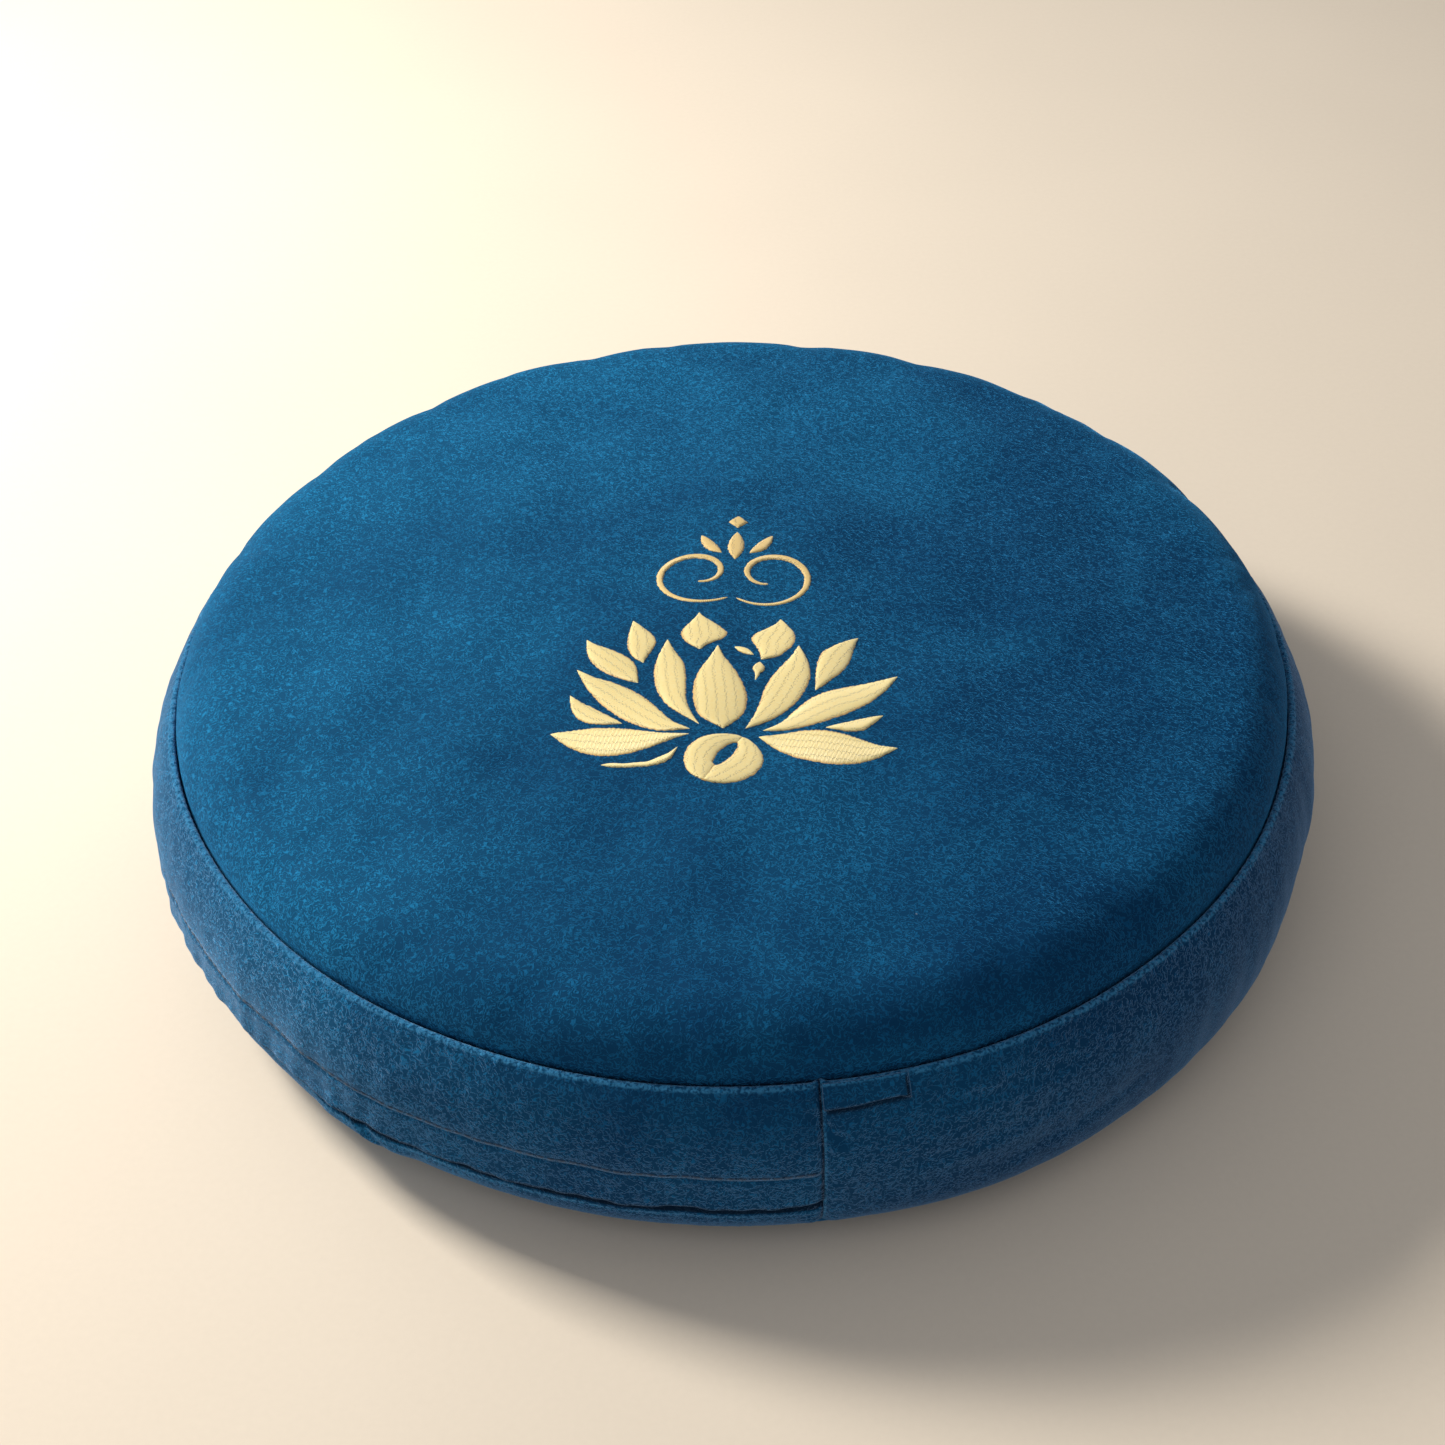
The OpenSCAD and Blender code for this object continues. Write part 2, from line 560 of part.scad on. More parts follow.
module lotus_back_petals() {
    color(gold) satin() {
        polygon(petal([-27, 30.8], [-32.2, 52.5],
            [2.8, 3.8, 4.1, 3.5, 2.4, 1.2], [-2, -4.4, -6, -5.7, -4, -2]));
        polygon(petal([-27.9, 21.1], [-46.7, 42.3],
            [2.7, 4.8, 6.1, 6.2, 5.3, 3], [-2.9, -5, -5.1, -4, -2.4, -0.6]));
        polygon(petal([-9, 37.6], [-10.4, 56.6],
            [3.4, 5.6, 6.6, 5.6, 3.6, 1.4], [-3, -8, -9.4, -7.6, -4.9, -1.6]));
        polygon(petal([11.1, 33.2], [16.7, 54.8],
            [1.5, 4.1, 6.5, 5.8, 3.5, 1], [-5, -6.9, -8.2, -8.1, -6.9, -3.7]));
        polygon(petal([29, 19.1], [42.7, 46.5],
            [2.4, 4.5, 6.1, 6.7, 5.2, 2.8], [-1.4, -2.6, -3.6, -3.5, -2.3, -1]));
        polygon(petal([2, 39.6], [8.8, 35.6],
            [0.7, 1.2, 1.5, 1.5, 1.2, 0.7], [-0.7, -1.1, -1.3, -1.2, -1, -0.6]));
        polygon(petal([9.6, 22.6], [10.8, 32.4],
            [0.3, 0.5, 0.9, 1.7, 1.8, 1.1], [-0.4, -0.8, -1.2, -2, -2.2, -1.3]));
    }
}
module lotus_base_bud() {
    color(gold) satin() difference() {
        translate([1.4, -13.7]) scale([1, 0.86]) circle(r = 13, $fn = 60);
        polygon(petal([-1.4, -18], [4.2, -4.8],
            [0.7, 1, 1, 1, 1.1, 0.8], [-1.2, -1.9, -2.2, -1.9, -1.3, -0.6]));
    }
}
module lotus_under_petal() {
    color(gold) satin() polygon(petal([-12.9, -8.8], [-37.2, -16.9],
        [4.5, 5.6, 5.4, 4.5, 3.5, 2.4], [1.9, 2.7, 3.2, 2.4, 1.6, 0.3]));
}
module ornament_scrolls() {
    color(gold) satin() pair_of(scroll());
}
module ornament_leaves() {
    color(gold) satin() {
        polygon(petal([0, 86], [0, 103], [1.5, 2.5, 3, 2.9, 2.3, 1.3], [-1.5, -2.5, -3, -2.9, -2.3, -1.3]));
        pair_of(petal([4.6, 90], [12.5, 101],
            [0.7, 1.1, 1.3, 1.3, 1.1, 0.7], [-1.6, -2.7, -3.1, -2.9, -2.4, -1.4]));
    }
}
module ornament_lozenge() {
    color(gold) satin() polygon([[0, 105], [3.6, 108.6], [0, 112.2], [-3.6, 108.6]]);
}
// Stiff non-woven sheet behind the stitches.
module embroidery_backing() {
    color(cotton) intersection() {
        rotate_extrude() polygon(concat(
            [for (i = [0:dome_steps])
                let (a = cover_dome[2] * i / dome_steps, r = dome_r - cover_t - lay_gap)
                [r * sin(a), cover_dome[1] + r * cos(a)]],
            [for (i = [dome_steps:-1:0])
                let (a = cover_dome[2] * i / dome_steps, r = dome_r - cover_t - lay_gap - backing_t)
                [r * sin(a), cover_dome[1] + r * cos(a)]]
        ));
        translate([heart[0], heart[1], cover_dome[1] + dome_r - 60]) rotate([0, 0, motif_turn])
            linear_extrude(80) scale(motif_scale) translate([-64, -34]) square([128, 154]);
    }
}

// Inner cushion.
case_thread_a = case_tilt - 2.5;
module case_groove(up) {
    seam_ring(case_side, case_hem + lay_gap / 2, up * case_thread_a, groove_r);
}
module inner_case_top() {
    color(cotton) difference() {
        rotate_extrude()
            top_profile(case_dome, case_side, case_t, case_flange0, case_flange1, case_allow_a);
        case_groove(1);
    }
}
module inner_case_bottom() {
    color(cotton) difference() {
        rotate_extrude()
            base_profile(case_base, case_side, case_t, case_flange0, case_flange1, case_allow_a);
        case_groove(-1);
    }
}
closing_mid = 90;
closing_half = closing_len / 2 / case_seam_r * 180 / PI;
module inner_case_band() {
    color(cotton) difference() {
        rotate_extrude() band_profile(case_side, case_t, case_hem, case_allow_a);
        case_groove(1);
        case_groove(-1);
        seam_arc(
            case_side, thread_r, 0, groove_r,
            closing_mid - closing_half - 0.2, closing_mid + closing_half + 0.2
        );
    }
}
module inner_top_thread() {
    color(cotton) seam_ring(case_side, case_hem + lay_gap / 2, case_thread_a, thread_r);
}
module inner_bottom_thread() {
    color(cotton) seam_ring(case_side, case_hem + lay_gap / 2, -case_thread_a, thread_r);
}
module inner_closing_stitch() {
    color(cotton)
        seam_arc(case_side, thread_r, 0, thread_r, closing_mid - closing_half, closing_mid + closing_half);
}
// The hulls, as the one body that they pack into.
module hull_fill() {
    inset = case_flange1 + 0.2;
    color([0.35, 0.22, 0.14]) rotate_extrude() polygon(concat(
        dome_pts(case_dome, case_t + 0.2),
        side_arc(case_side, inset, case_tilt - 0.5, -case_tilt + 0.5),
        rev(base_pts(case_base, case_t + 0.2))
    ));
}

top_panel();
bottom_panel();
plain_band();
zip_band_upper();
zip_band_lower();
zip_flap();
zip_tape_upper();
zip_tape_lower();
zip_coil_upper();
zip_coil_lower();
zip_bar_tacks();
zip_slider();
zip_pull();
top_seam_thread();
bottom_seam_thread();
front_joint_thread();
rear_joint_thread();
flap_topstitch();
lower_zip_stitch();
embroidery_backing();
lotus_centre_petal();
lotus_inner_petals();
lotus_long_petals();
lotus_lower_petals();
lotus_side_slips();
lotus_back_petals();
lotus_base_bud();
lotus_under_petal();
ornament_scrolls();
ornament_leaves();
ornament_lozenge();
inner_case_top();
inner_case_bottom();
inner_case_band();
inner_top_thread();
inner_bottom_thread();
inner_closing_stitch();
hull_fill();
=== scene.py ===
import math

import bmesh
import bpy
import numpy as np
from mathutils import Matrix, Vector


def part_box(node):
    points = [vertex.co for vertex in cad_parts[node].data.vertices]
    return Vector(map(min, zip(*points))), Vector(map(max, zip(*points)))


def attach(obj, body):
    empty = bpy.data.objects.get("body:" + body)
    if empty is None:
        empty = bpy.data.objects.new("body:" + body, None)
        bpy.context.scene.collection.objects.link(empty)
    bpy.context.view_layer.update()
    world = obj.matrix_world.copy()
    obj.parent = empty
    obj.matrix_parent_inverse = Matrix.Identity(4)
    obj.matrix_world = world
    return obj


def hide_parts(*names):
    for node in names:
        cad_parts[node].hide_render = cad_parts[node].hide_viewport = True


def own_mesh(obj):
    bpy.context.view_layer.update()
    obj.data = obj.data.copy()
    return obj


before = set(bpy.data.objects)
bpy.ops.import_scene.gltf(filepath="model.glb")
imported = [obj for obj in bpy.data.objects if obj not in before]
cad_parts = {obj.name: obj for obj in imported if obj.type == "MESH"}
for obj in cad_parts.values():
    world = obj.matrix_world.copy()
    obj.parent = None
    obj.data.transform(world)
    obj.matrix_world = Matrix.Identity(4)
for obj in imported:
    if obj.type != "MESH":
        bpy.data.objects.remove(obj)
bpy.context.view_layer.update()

mm = 0.001
body = "cushion"
print("frame loaded")

# sizes shared by every layer
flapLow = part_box("zip_flap")[0]
cover = dict(
    seamRadius=190 * mm,
    fullRadius=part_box("plain_band")[1].x,
    lowSeam=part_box("zip_band_lower")[0].z,
    topSeam=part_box("zip_band_upper")[1].z,
    domeRadius=1700 * mm, edgeRoll=20 * mm, edgeSlope=86, baseSlope=92,
    cloth=1.2 * mm, laid=0.05 * mm,
    frontJoint=-83.5, rearJoint=146.5,
)
inner = dict(seamRadius=181 * mm, fullRadius=188 * mm, drop=5 * mm, cloth=0.8 * mm, floor=2.4 * mm)


def sideShape(seamRadius, lowZ, highZ, fullRadius):
    # circle through both seams and the fullest point: radius = (h^2 + swell^2) / (2 swell)
    swell = fullRadius - seamRadius
    half = (highZ - lowZ) / 2
    radius = (half * half + swell * swell) / (2 * swell)
    return dict(r=fullRadius - radius, z=(lowZ + highZ) / 2, radius=radius, tilt=math.asin(half / radius))


def sidePoint(side, angle, inset=0.0):
    # point on the band's arc, set in from its face
    return (side["r"] + (side["radius"] - inset) * np.cos(angle),
            side["z"] + (side["radius"] - inset) * np.sin(angle))


def domeShape(endR, endZ):
    # a large sphere, then a tight roll that ends at the seam with the given slope
    rad, slope = cover["domeRadius"], math.radians(cover["edgeSlope"])
    turn = math.asin((endR - cover["edgeRoll"]) / rad)
    rho = cover["edgeRoll"] / (math.sin(slope) - math.sin(turn))
    z = endZ - rho * math.cos(slope) - (rad - rho) * math.cos(turn)
    return dict(rad=rad, z=z, turn=turn, rho=rho, rollR=(rad - rho) * math.sin(turn),
                rollZ=z + (rad - rho) * math.cos(turn), length=rad * turn + rho * (slope - turn))


def domePoint(dome, s, inset=0.0):
    # s is the length along the dome from its crown; returns r, z and the surface angle
    first = s <= dome["rad"] * dome["turn"]
    a = np.where(first, s / dome["rad"], dome["turn"] + (s - dome["rad"] * dome["turn"]) / dome["rho"])
    r = np.where(first, (dome["rad"] - inset) * np.sin(a),
                 dome["rollR"] + (dome["rho"] - inset) * np.sin(a))
    z = np.where(first, dome["z"] + (dome["rad"] - inset) * np.cos(a),
                 dome["rollZ"] + (dome["rho"] - inset) * np.cos(a))
    return r, z, a


def domeLength(dome, r):
    # length along the dome at radius r, the inverse of domePoint
    edge = dome["rad"] * math.sin(dome["turn"])
    a1 = np.arcsin(np.clip(r / dome["rad"], 0, 1))
    a2 = np.arcsin(np.clip((r - dome["rollR"]) / dome["rho"], 0,
                           math.sin(math.radians(cover["edgeSlope"]))))
    return np.where(r <= edge, a1 * dome["rad"], dome["rad"] * dome["turn"]
                    + (a2 - dome["turn"]) * dome["rho"])


def baseShape(endR, endZ, floorZ=0.0):
    # flat where it rests, then rolled up to its seam
    slope = math.radians(cover["baseSlope"])
    rho = (endZ - floorZ) / (1 - math.cos(slope))
    return dict(flat=endR - rho * math.sin(slope), rho=rho, floor=floorZ,
                length=endR - rho * math.sin(slope) + rho * slope)


def basePoint(base, s, inset=0.0):
    a = np.clip((s - base["flat"]) / base["rho"], 0, None)
    r = np.where(s <= base["flat"], s, base["flat"] + (base["rho"] - inset) * np.sin(a))
    z = np.where(s <= base["flat"], base["floor"] + inset,
                 base["floor"] + base["rho"] - (base["rho"] - inset) * np.cos(a))
    return r, z, a


side = sideShape(cover["seamRadius"], cover["lowSeam"], cover["topSeam"], cover["fullRadius"])
tilt = side["tilt"]
hem = 2 * cover["cloth"]
dome = domeShape(*sidePoint(side, tilt, hem + cover["laid"]))
base = baseShape(*sidePoint(side, -tilt, hem + cover["laid"]))


# how the filled cover gives
# Every layer takes the same soft displacement, read at its place on the cover: phi round the axis,
# and v from 0 at the crown, 1 at the top seam, 2 at the bottom seam, to 3 under the middle.
give = dict(
    seed=11,
    outline=0.9 * mm,          # slow waves of the outline
    lumps=0.9 * mm,            # hulls packed unevenly under the crown
    puckers=104, puckerDepth=0.75 * mm, puckerReach=17 * mm,
    bandWaves=0.7 * mm,
    simScale=0.4, simCap=3 * mm, pressure=4.0, spare=0.03,
)
rng = np.random.default_rng(give["seed"])
waveOrders = np.arange(2, 12)
waveSizes = rng.normal(0, 1, waveOrders.size) / waveOrders ** 0.8
wavePhases = rng.uniform(0, 2 * math.pi, waveOrders.size)
lumpDirs = rng.normal(0, 1, (14, 2)) * np.linspace(28, 95, 14)[:, None]
lumpPhases = rng.uniform(0, 2 * math.pi, 14)
puckerPhi = np.sort(rng.uniform(-math.pi, math.pi, give["puckers"]))
puckerWide = rng.uniform(2.2, 5.5, give["puckers"]) * mm
puckerLong = rng.uniform(0.5, 1.35, give["puckers"]) * give["puckerReach"]
puckerDeep = rng.uniform(0.25, 1.2, give["puckers"]) * give["puckerDepth"]
puckerSkew = rng.normal(0, 0.35, give["puckers"])
bandPhases = rng.uniform(0, 2 * math.pi, (10, 2))
simField = None                # filled by the cloth simulation: (phi, v, 3) of radial, round, up


def near(phi, centre, spread):
    # 1 at an angle in degrees, falling off over spread degrees
    gap = (np.degrees(phi) - centre + 180) % 360 - 180
    return np.exp(-(gap / spread) ** 2)


def smooth(x):
    x = np.clip(x, 0, 1)
    return x * x * (3 - 2 * x)


def sampleSim(phi, v):
    # bilinear reading of the simulated give, periodic in phi
    columns, rows = simField["grid"].shape[:2]
    u = (phi / (2 * math.pi)) % 1 * columns
    w = np.interp(v, simField["v"], np.arange(rows))
    u0, w0 = np.floor(u).astype(int), np.clip(np.floor(w).astype(int), 0, rows - 2)
    fu, fw = (u - u0)[..., None], (w - w0)[..., None]
    u0, u1 = u0 % columns, (u0 + 1) % columns
    g = simField["grid"]
    return ((g[u0, w0] * (1 - fu) + g[u1, w0] * fu) * (1 - fw)
            + (g[u0, w0 + 1] * (1 - fu) + g[u1, w0 + 1] * fu) * fw)


def softened(points, v):
    # moves nominal points by the outline's waves, lumps, puckers, creases and the simulated give
    x, y, z = points[..., 0], points[..., 1], points[..., 2]
    phi, r = np.arctan2(y, x), np.hypot(x, y)
    toSeam = np.where(v < 1, (1 - v) * dome["length"], 0.0)     # length from the top seam, on the crown
    onTop, onSide = v < 1, (v >= 1) & (v <= 2)
    reach = np.where(onTop, smooth((v - 0.35) / 0.6), np.where(onSide, 1.0, smooth((2.22 - v) / 0.2)))
    wave = (waveSizes * np.cos(phi[..., None] * waveOrders + wavePhases)).sum(-1)
    # flatter runs at the left of the back, a fuller front, a slack low left
    runs = -0.5 * mm * near(phi, 128, 9) - 0.3 * mm * near(phi, 106, 7) + 0.9 * mm * near(phi, 117, 6)
    runs = runs - 0.6 * mm * near(phi, 146, 7) + 1.6 * mm * near(phi, -88, 40)
    runs = runs + 0.8 * mm * near(phi, 95, 50)
    outward = reach * (give["outline"] * 0.55 * wave + runs)
    lump = np.cos(x[..., None] * lumpDirs[:, 0] + y[..., None] * lumpDirs[:, 1] + lumpPhases).sum(-1) / 3.2
    up = np.where(onTop, give["lumps"] * lump * smooth(toSeam / (60 * mm)), 0.0)
    up = up + 1.3 * mm * near(phi, 92, 52) * smooth((v - 0.5) / 0.4) * smooth((1.6 - v) / 0.6)
    # the filling's weight fills the band out low down, mostly at the front
    sag = 3.7 * mm * near(phi, -66, 44) + 2.9 * mm * near(phi, -132, 32) + 0.6 * mm * near(phi, 40, 50)
    outward = outward + sag * np.exp(-((v - 1.92) / 0.21) ** 2)
    # puckers: narrow dimples that run from the seam into the crown, deepest at the right of the back
    strength = 0.42 + 1.5 * near(phi, 48, 34) + 0.5 * near(phi, 160, 30)
    gap = (phi[..., None] - puckerPhi + math.pi) % (2 * math.pi) - math.pi
    along = gap * 190 * mm + puckerSkew * toSeam[..., None]
    shape = np.exp(-(along / (puckerWide * (1 + toSeam[..., None] / (14 * mm)))) ** 2)
    rise = smooth(toSeam / (2.2 * mm))[..., None] * np.exp(-(toSeam[..., None] / puckerLong) ** 2)
    dimple = -(shape * rise * puckerDeep).sum(-1) * strength * onTop
    # the band: slow upright waves, wider than the puckers, held at both seams
    q = np.clip(v - 1, 0, 1)
    swing = sum(np.cos(phi * k + bandPhases[i, 0] + 2.2 * q * math.sin(bandPhases[i, 1])) / (i + 2)
                for i, k in enumerate((9, 13, 19, 26, 34, 43, 55, 71, 90, 113)))
    belly = np.where(onSide, give["bandWaves"] * swing * np.sin(math.pi * q) ** 0.8, 0.0)
    for c in creases:
        belly = belly + crease(phi, z, onSide, **c)
    outward = outward + belly + dimple * np.clip(1 - toSeam / (16 * mm), 0, 1) * 0.5
    up = up + dimple * 0.9
    out = points.copy()
    cs, sn = np.cos(phi), np.sin(phi)
    out[..., 0] += outward * cs
    out[..., 1] += outward * sn
    out[..., 2] += up
    if simField is not None:
        d = sampleSim(phi, np.broadcast_to(v, phi.shape)) * give["simScale"]
        out[..., 0] += d[..., 0] * cs - d[..., 1] * sn
        out[..., 1] += d[..., 0] * sn + d[..., 1] * cs
        out[..., 2] += d[..., 2]
    return out


def crease(phi, z, where, start, end, depth, width, lip=0.0):
    # a valley, or a ridge if depth is above 0, along a line on the band from one (angle, height) to another
    x = (np.degrees(phi) - start[0] + 180) % 360 - 180
    px, pz = np.radians(x) * 200 * mm, z - start[1] * mm
    ex, ez = math.radians(end[0] - start[0]) * 200 * mm, (end[1] - start[1]) * mm
    size = math.hypot(ex, ez)
    t = (px * ex + pz * ez) / size ** 2
    off = (px * ez - pz * ex) / size
    fade = smooth(np.clip(t, -0.3, 1.3) / 0.3 + 0.5) * smooth((1 - np.clip(t, -0.3, 1.3)) / 0.3 + 0.5)
    return where * fade * (depth * np.exp(-(off / width) ** 2)
                           + lip * np.exp(-((off - 2 * width) / width) ** 2))


creases = [
    dict(start=(-84.6, 62), end=(-81.6, 52), depth=-0.9 * mm, width=1.5 * mm, lip=0.4 * mm),
    dict(start=(-72.5, 60), end=(-60, 57), depth=-0.5 * mm, width=2.2 * mm, lip=0.35 * mm),
    dict(start=(-76, 41), end=(-62, 46), depth=-0.45 * mm, width=2.4 * mm, lip=0.3 * mm),
    dict(start=(-71.5, 63), end=(-68, 61), depth=0.9 * mm, width=3.0 * mm),
    dict(start=(-68, 30), end=(-52, 35), depth=-0.35 * mm, width=2.6 * mm, lip=0.25 * mm),
    dict(start=(-131, 22), end=(-121, 20), depth=1.7 * mm, width=6 * mm),
    dict(start=(-126, 27), end=(-123.5, 19), depth=-1.0 * mm, width=1.3 * mm, lip=0.5 * mm),
]


def simulateGive():
    # the cover as one closed coarse form, blown up from inside with spare cloth between its seams
    columns = 216
    topS = np.linspace(0.46 * dome["length"], dome["length"], 18)
    sideA = np.linspace(tilt, -tilt, 12)
    baseS = np.linspace(base["length"], base["flat"] - 14 * mm, 8)
    r = np.concatenate([domePoint(dome, topS)[0], sidePoint(side, sideA)[0][1:-1],
                        basePoint(base, baseS)[0]])
    z = np.concatenate([domePoint(dome, topS)[1], sidePoint(side, sideA)[1][1:-1],
                        basePoint(base, baseS)[1]])
    v = np.concatenate([topS / dome["length"], 1 + np.linspace(0, 1, 12)[1:-1], 3 - baseS / base["length"]])
    phi = np.arange(columns) / columns * 2 * math.pi
    grid = np.stack([np.cos(phi)[:, None] * r, np.sin(phi)[:, None] * r,
                     np.broadcast_to(z, (columns, r.size))], -1)
    rows = r.size
    crown = domePoint(dome, np.array([0.0]))[1][0]
    points = np.concatenate([grid.reshape(-1, 3), [[0, 0, crown], [0, 0, 0]]])
    i, j = np.meshgrid(np.arange(columns), np.arange(rows - 1), indexing="ij")
    k = (i + 1) % columns
    quads = np.stack([i * rows + j, i * rows + j + 1, k * rows + j + 1, k * rows + j], -1).reshape(-1, 4)
    i = np.arange(columns)
    k = (i + 1) % columns
    tips = [np.stack([np.full(columns, columns * rows), i * rows, k * rows], -1),
            np.stack([np.full(columns, columns * rows + 1), k * rows + rows - 1, i * rows + rows - 1], -1)]
    mesh = bpy.data.meshes.new("coarseCover")
    mesh.from_pydata(points.tolist(), [], quads.tolist() + tips[0].tolist() + tips[1].tolist())
    obj = bpy.data.objects.new("coarseCover", mesh)
    bpy.context.scene.collection.objects.link(obj)
    held = np.zeros((columns, rows))
    held[:, 0] = held[:, 17] = held[:, 27] = 1.0
    held[:, -4:] = 1.0
    slack = np.clip(0.35 + 0.9 * near(phi, 48, 36) + 0.35 * near(phi, 165, 30) + 0.3 * near(phi, -125, 20),
                    0, 1)
    slack = np.broadcast_to(slack[:, None], (columns, rows))
    for name, weights in (("held", held), ("slack", slack)):
        group = obj.vertex_groups.new(name=name)
        flat = np.concatenate([weights.ravel(), [1.0, 1.0]])
        for level in np.unique(np.round(flat, 2)):
            if level > 0:
                group.add(np.nonzero(np.abs(flat - level) < 0.006)[0].tolist(), float(level), "REPLACE")
    cloth = obj.modifiers.new("cloth", "CLOTH")
    s = cloth.settings
    s.quality = 6
    s.mass = 0.25
    s.tension_stiffness = s.compression_stiffness = 18
    s.shear_stiffness = 6
    s.bending_stiffness = 0.6
    s.use_pressure = True
    s.uniform_pressure_force = give["pressure"]
    s.vertex_group_mass = "held"
    s.pin_stiffness = 4
    s.vertex_group_shrink = "slack"
    s.shrink_min, s.shrink_max = -0.004, -give["spare"]
    s.effector_weights.gravity = 0
    cloth.collision_settings.use_collision = False
    cloth.point_cache.frame_start, cloth.point_cache.frame_end = 1, 20
    scene = bpy.context.scene
    for f in range(1, 21):
        scene.frame_set(f)
    found = obj.evaluated_get(bpy.context.evaluated_depsgraph_get()).to_mesh()
    co = np.zeros(len(found.vertices) * 3)
    found.vertices.foreach_get("co", co)
    scene.frame_set(1)
    moved = co.reshape(-1, 3)[:-2].reshape(columns, rows, 3) - grid
    bpy.data.objects.remove(obj)
    cs, sn = np.cos(phi)[:, None], np.sin(phi)[:, None]
    d = np.stack([moved[..., 0] * cs + moved[..., 1] * sn, -moved[..., 0] * sn + moved[..., 1] * cs,
                  moved[..., 2]], -1)
    d = d - d.mean(0, keepdims=True)                 # the frame already has the mean swell
    size = np.linalg.norm(d, axis=-1, keepdims=True)
    d = d * np.minimum(1, give["simCap"] / np.maximum(size, 1e-9))
    print("cloth simulated, give up to %.2f mm" % (float(np.linalg.norm(d, axis=-1).max()) / mm))
    return dict(grid=d, v=v)


simField = simulateGive()


# meshes from whole arrays
def gridFaces(nu, nv, wrap):
    i, j = np.meshgrid(np.arange(nu if wrap else nu - 1), np.arange(nv - 1), indexing="ij")
    k = (i + 1) % nu
    return np.stack([i * nv + j, k * nv + j, k * nv + j + 1, i * nv + j + 1], -1).reshape(-1, 4)


def shell(outer, lining, wrap=True, uv=None):
    # outer face and lining as two grids of the same size, joined round their free edges
    nu, nv = outer.shape[:2]
    n = nu * nv
    faces = [gridFaces(nu, nv, wrap), gridFaces(nu, nv, wrap)[:, ::-1] + n]
    i = np.arange(nu if wrap else nu - 1)
    k = (i + 1) % nu
    faces.append(np.stack([k * nv, i * nv, i * nv + n, k * nv + n], -1))
    faces.append(np.stack([i * nv + nv - 1, k * nv + nv - 1, k * nv + nv - 1 + n, i * nv + nv - 1 + n], -1))
    if not wrap:
        j = np.arange(nv - 1)
        faces.append(np.stack([j, j + 1, j + 1 + n, j + n], -1))
        j = j + (nu - 1) * nv
        faces.append(np.stack([j + 1, j, j + n, j + 1 + n], -1))
    points = np.concatenate([outer.reshape(-1, 3), lining.reshape(-1, 3)])
    if uv is not None:
        uv = np.concatenate([uv.reshape(-1, 2), uv.reshape(-1, 2)])
    return points, np.concatenate(faces), uv


def joined(parts):
    # several shells as the arrays of one mesh
    points, faces, uvs, count = [], [], [], 0
    for p, f, uv in parts:
        points.append(p)
        faces.append(f + count)
        uvs.append(uv if uv is not None else np.zeros((len(p), 2)))
        count += len(p)
    return np.concatenate(points), np.concatenate(faces), np.concatenate(uvs)


def addPiece(name, part, material, standsFor=(), rides=body, paintedLight=None):
    # this attribute marks painted shade in a crease (below 0) and a painted highlight along an edge (above
    # 0)
    points, faces, uv = part
    mesh = bpy.data.meshes.new(name)
    mesh.from_pydata(points.tolist(), [], faces.tolist())
    if uv is not None:
        layer = mesh.uv_layers.new(name="uv")
        layer.data.foreach_set("uv", uv[faces.ravel()].astype(np.float32).ravel())
    if paintedLight is not None:
        paintedLightData = mesh.attributes.new("paintedLight", "FLOAT", "POINT").data
        paintedLightData.foreach_set("value", paintedLight.astype(np.float32).ravel())
    bm = bmesh.new()
    bm.from_mesh(mesh)
    bmesh.ops.remove_doubles(bm, verts=bm.verts, dist=1e-7)
    bmesh.ops.recalc_face_normals(bm, faces=bm.faces)
    bm.to_mesh(mesh)
    bm.free()
    mesh.polygons.foreach_set("use_smooth", np.ones(len(mesh.polygons), bool))
    mesh.materials.append(material)
    obj = bpy.data.objects.new(name, mesh)
    bpy.context.scene.collection.objects.link(obj)
    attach(obj, rides)
    if standsFor:
        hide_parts(*standsFor)
    return obj


def spun(phi, r, z):
    # a profile carried round the axis: rows of phi, columns of the profile
    phi, r, z = np.broadcast_arrays(phi[:, None], r[None, :], z[None, :])
    return np.stack([r * np.cos(phi), r * np.sin(phi), z], -1)


# materials
def newMaterial(name, colour, rough, **sockets):
    m = bpy.data.materials.new(name)
    m.use_nodes = True
    tree = m.node_tree
    shader = tree.nodes["Principled BSDF"]
    shader.inputs["Base Color"].default_value = (*colour, 1)
    shader.inputs["Roughness"].default_value = rough
    for key, value in sockets.items():
        shader.inputs[key.replace("_", " ")].default_value = value
    return m, tree, shader


def put(tree, kind, **settings):
    # a node with its properties, and its inputs by name; a linked input is given as a socket
    n = tree.nodes.new("ShaderNode" + kind)
    for key, value in settings.items():
        if hasattr(n, key) and key not in n.inputs:
            setattr(n, key, value)
            continue
        socket = (n.inputs[int(key[1:])] if key[0] == "i" and key[1:].isdigit()
                  else n.inputs[key.replace("_", " ")])
        if isinstance(value, bpy.types.NodeSocket):
            tree.links.new(value, socket)
        else:
            socket.default_value = value
    return n


def maths(tree, operation, a, b=0.0, c=0.0):
    return put(tree, "Math", operation=operation, i0=a, i1=b, i2=c).outputs[0]


def blendColour(tree, factor, a, b):
    n = put(tree, "Mix", data_type="RGBA")
    for socket, value in ((n.inputs[0], factor), (n.inputs[6], a), (n.inputs[7], b)):
        if isinstance(value, bpy.types.NodeSocket):
            tree.links.new(value, socket)
        else:
            socket.default_value = value if isinstance(value, float) else (*value, 1)
    return n.outputs[2]


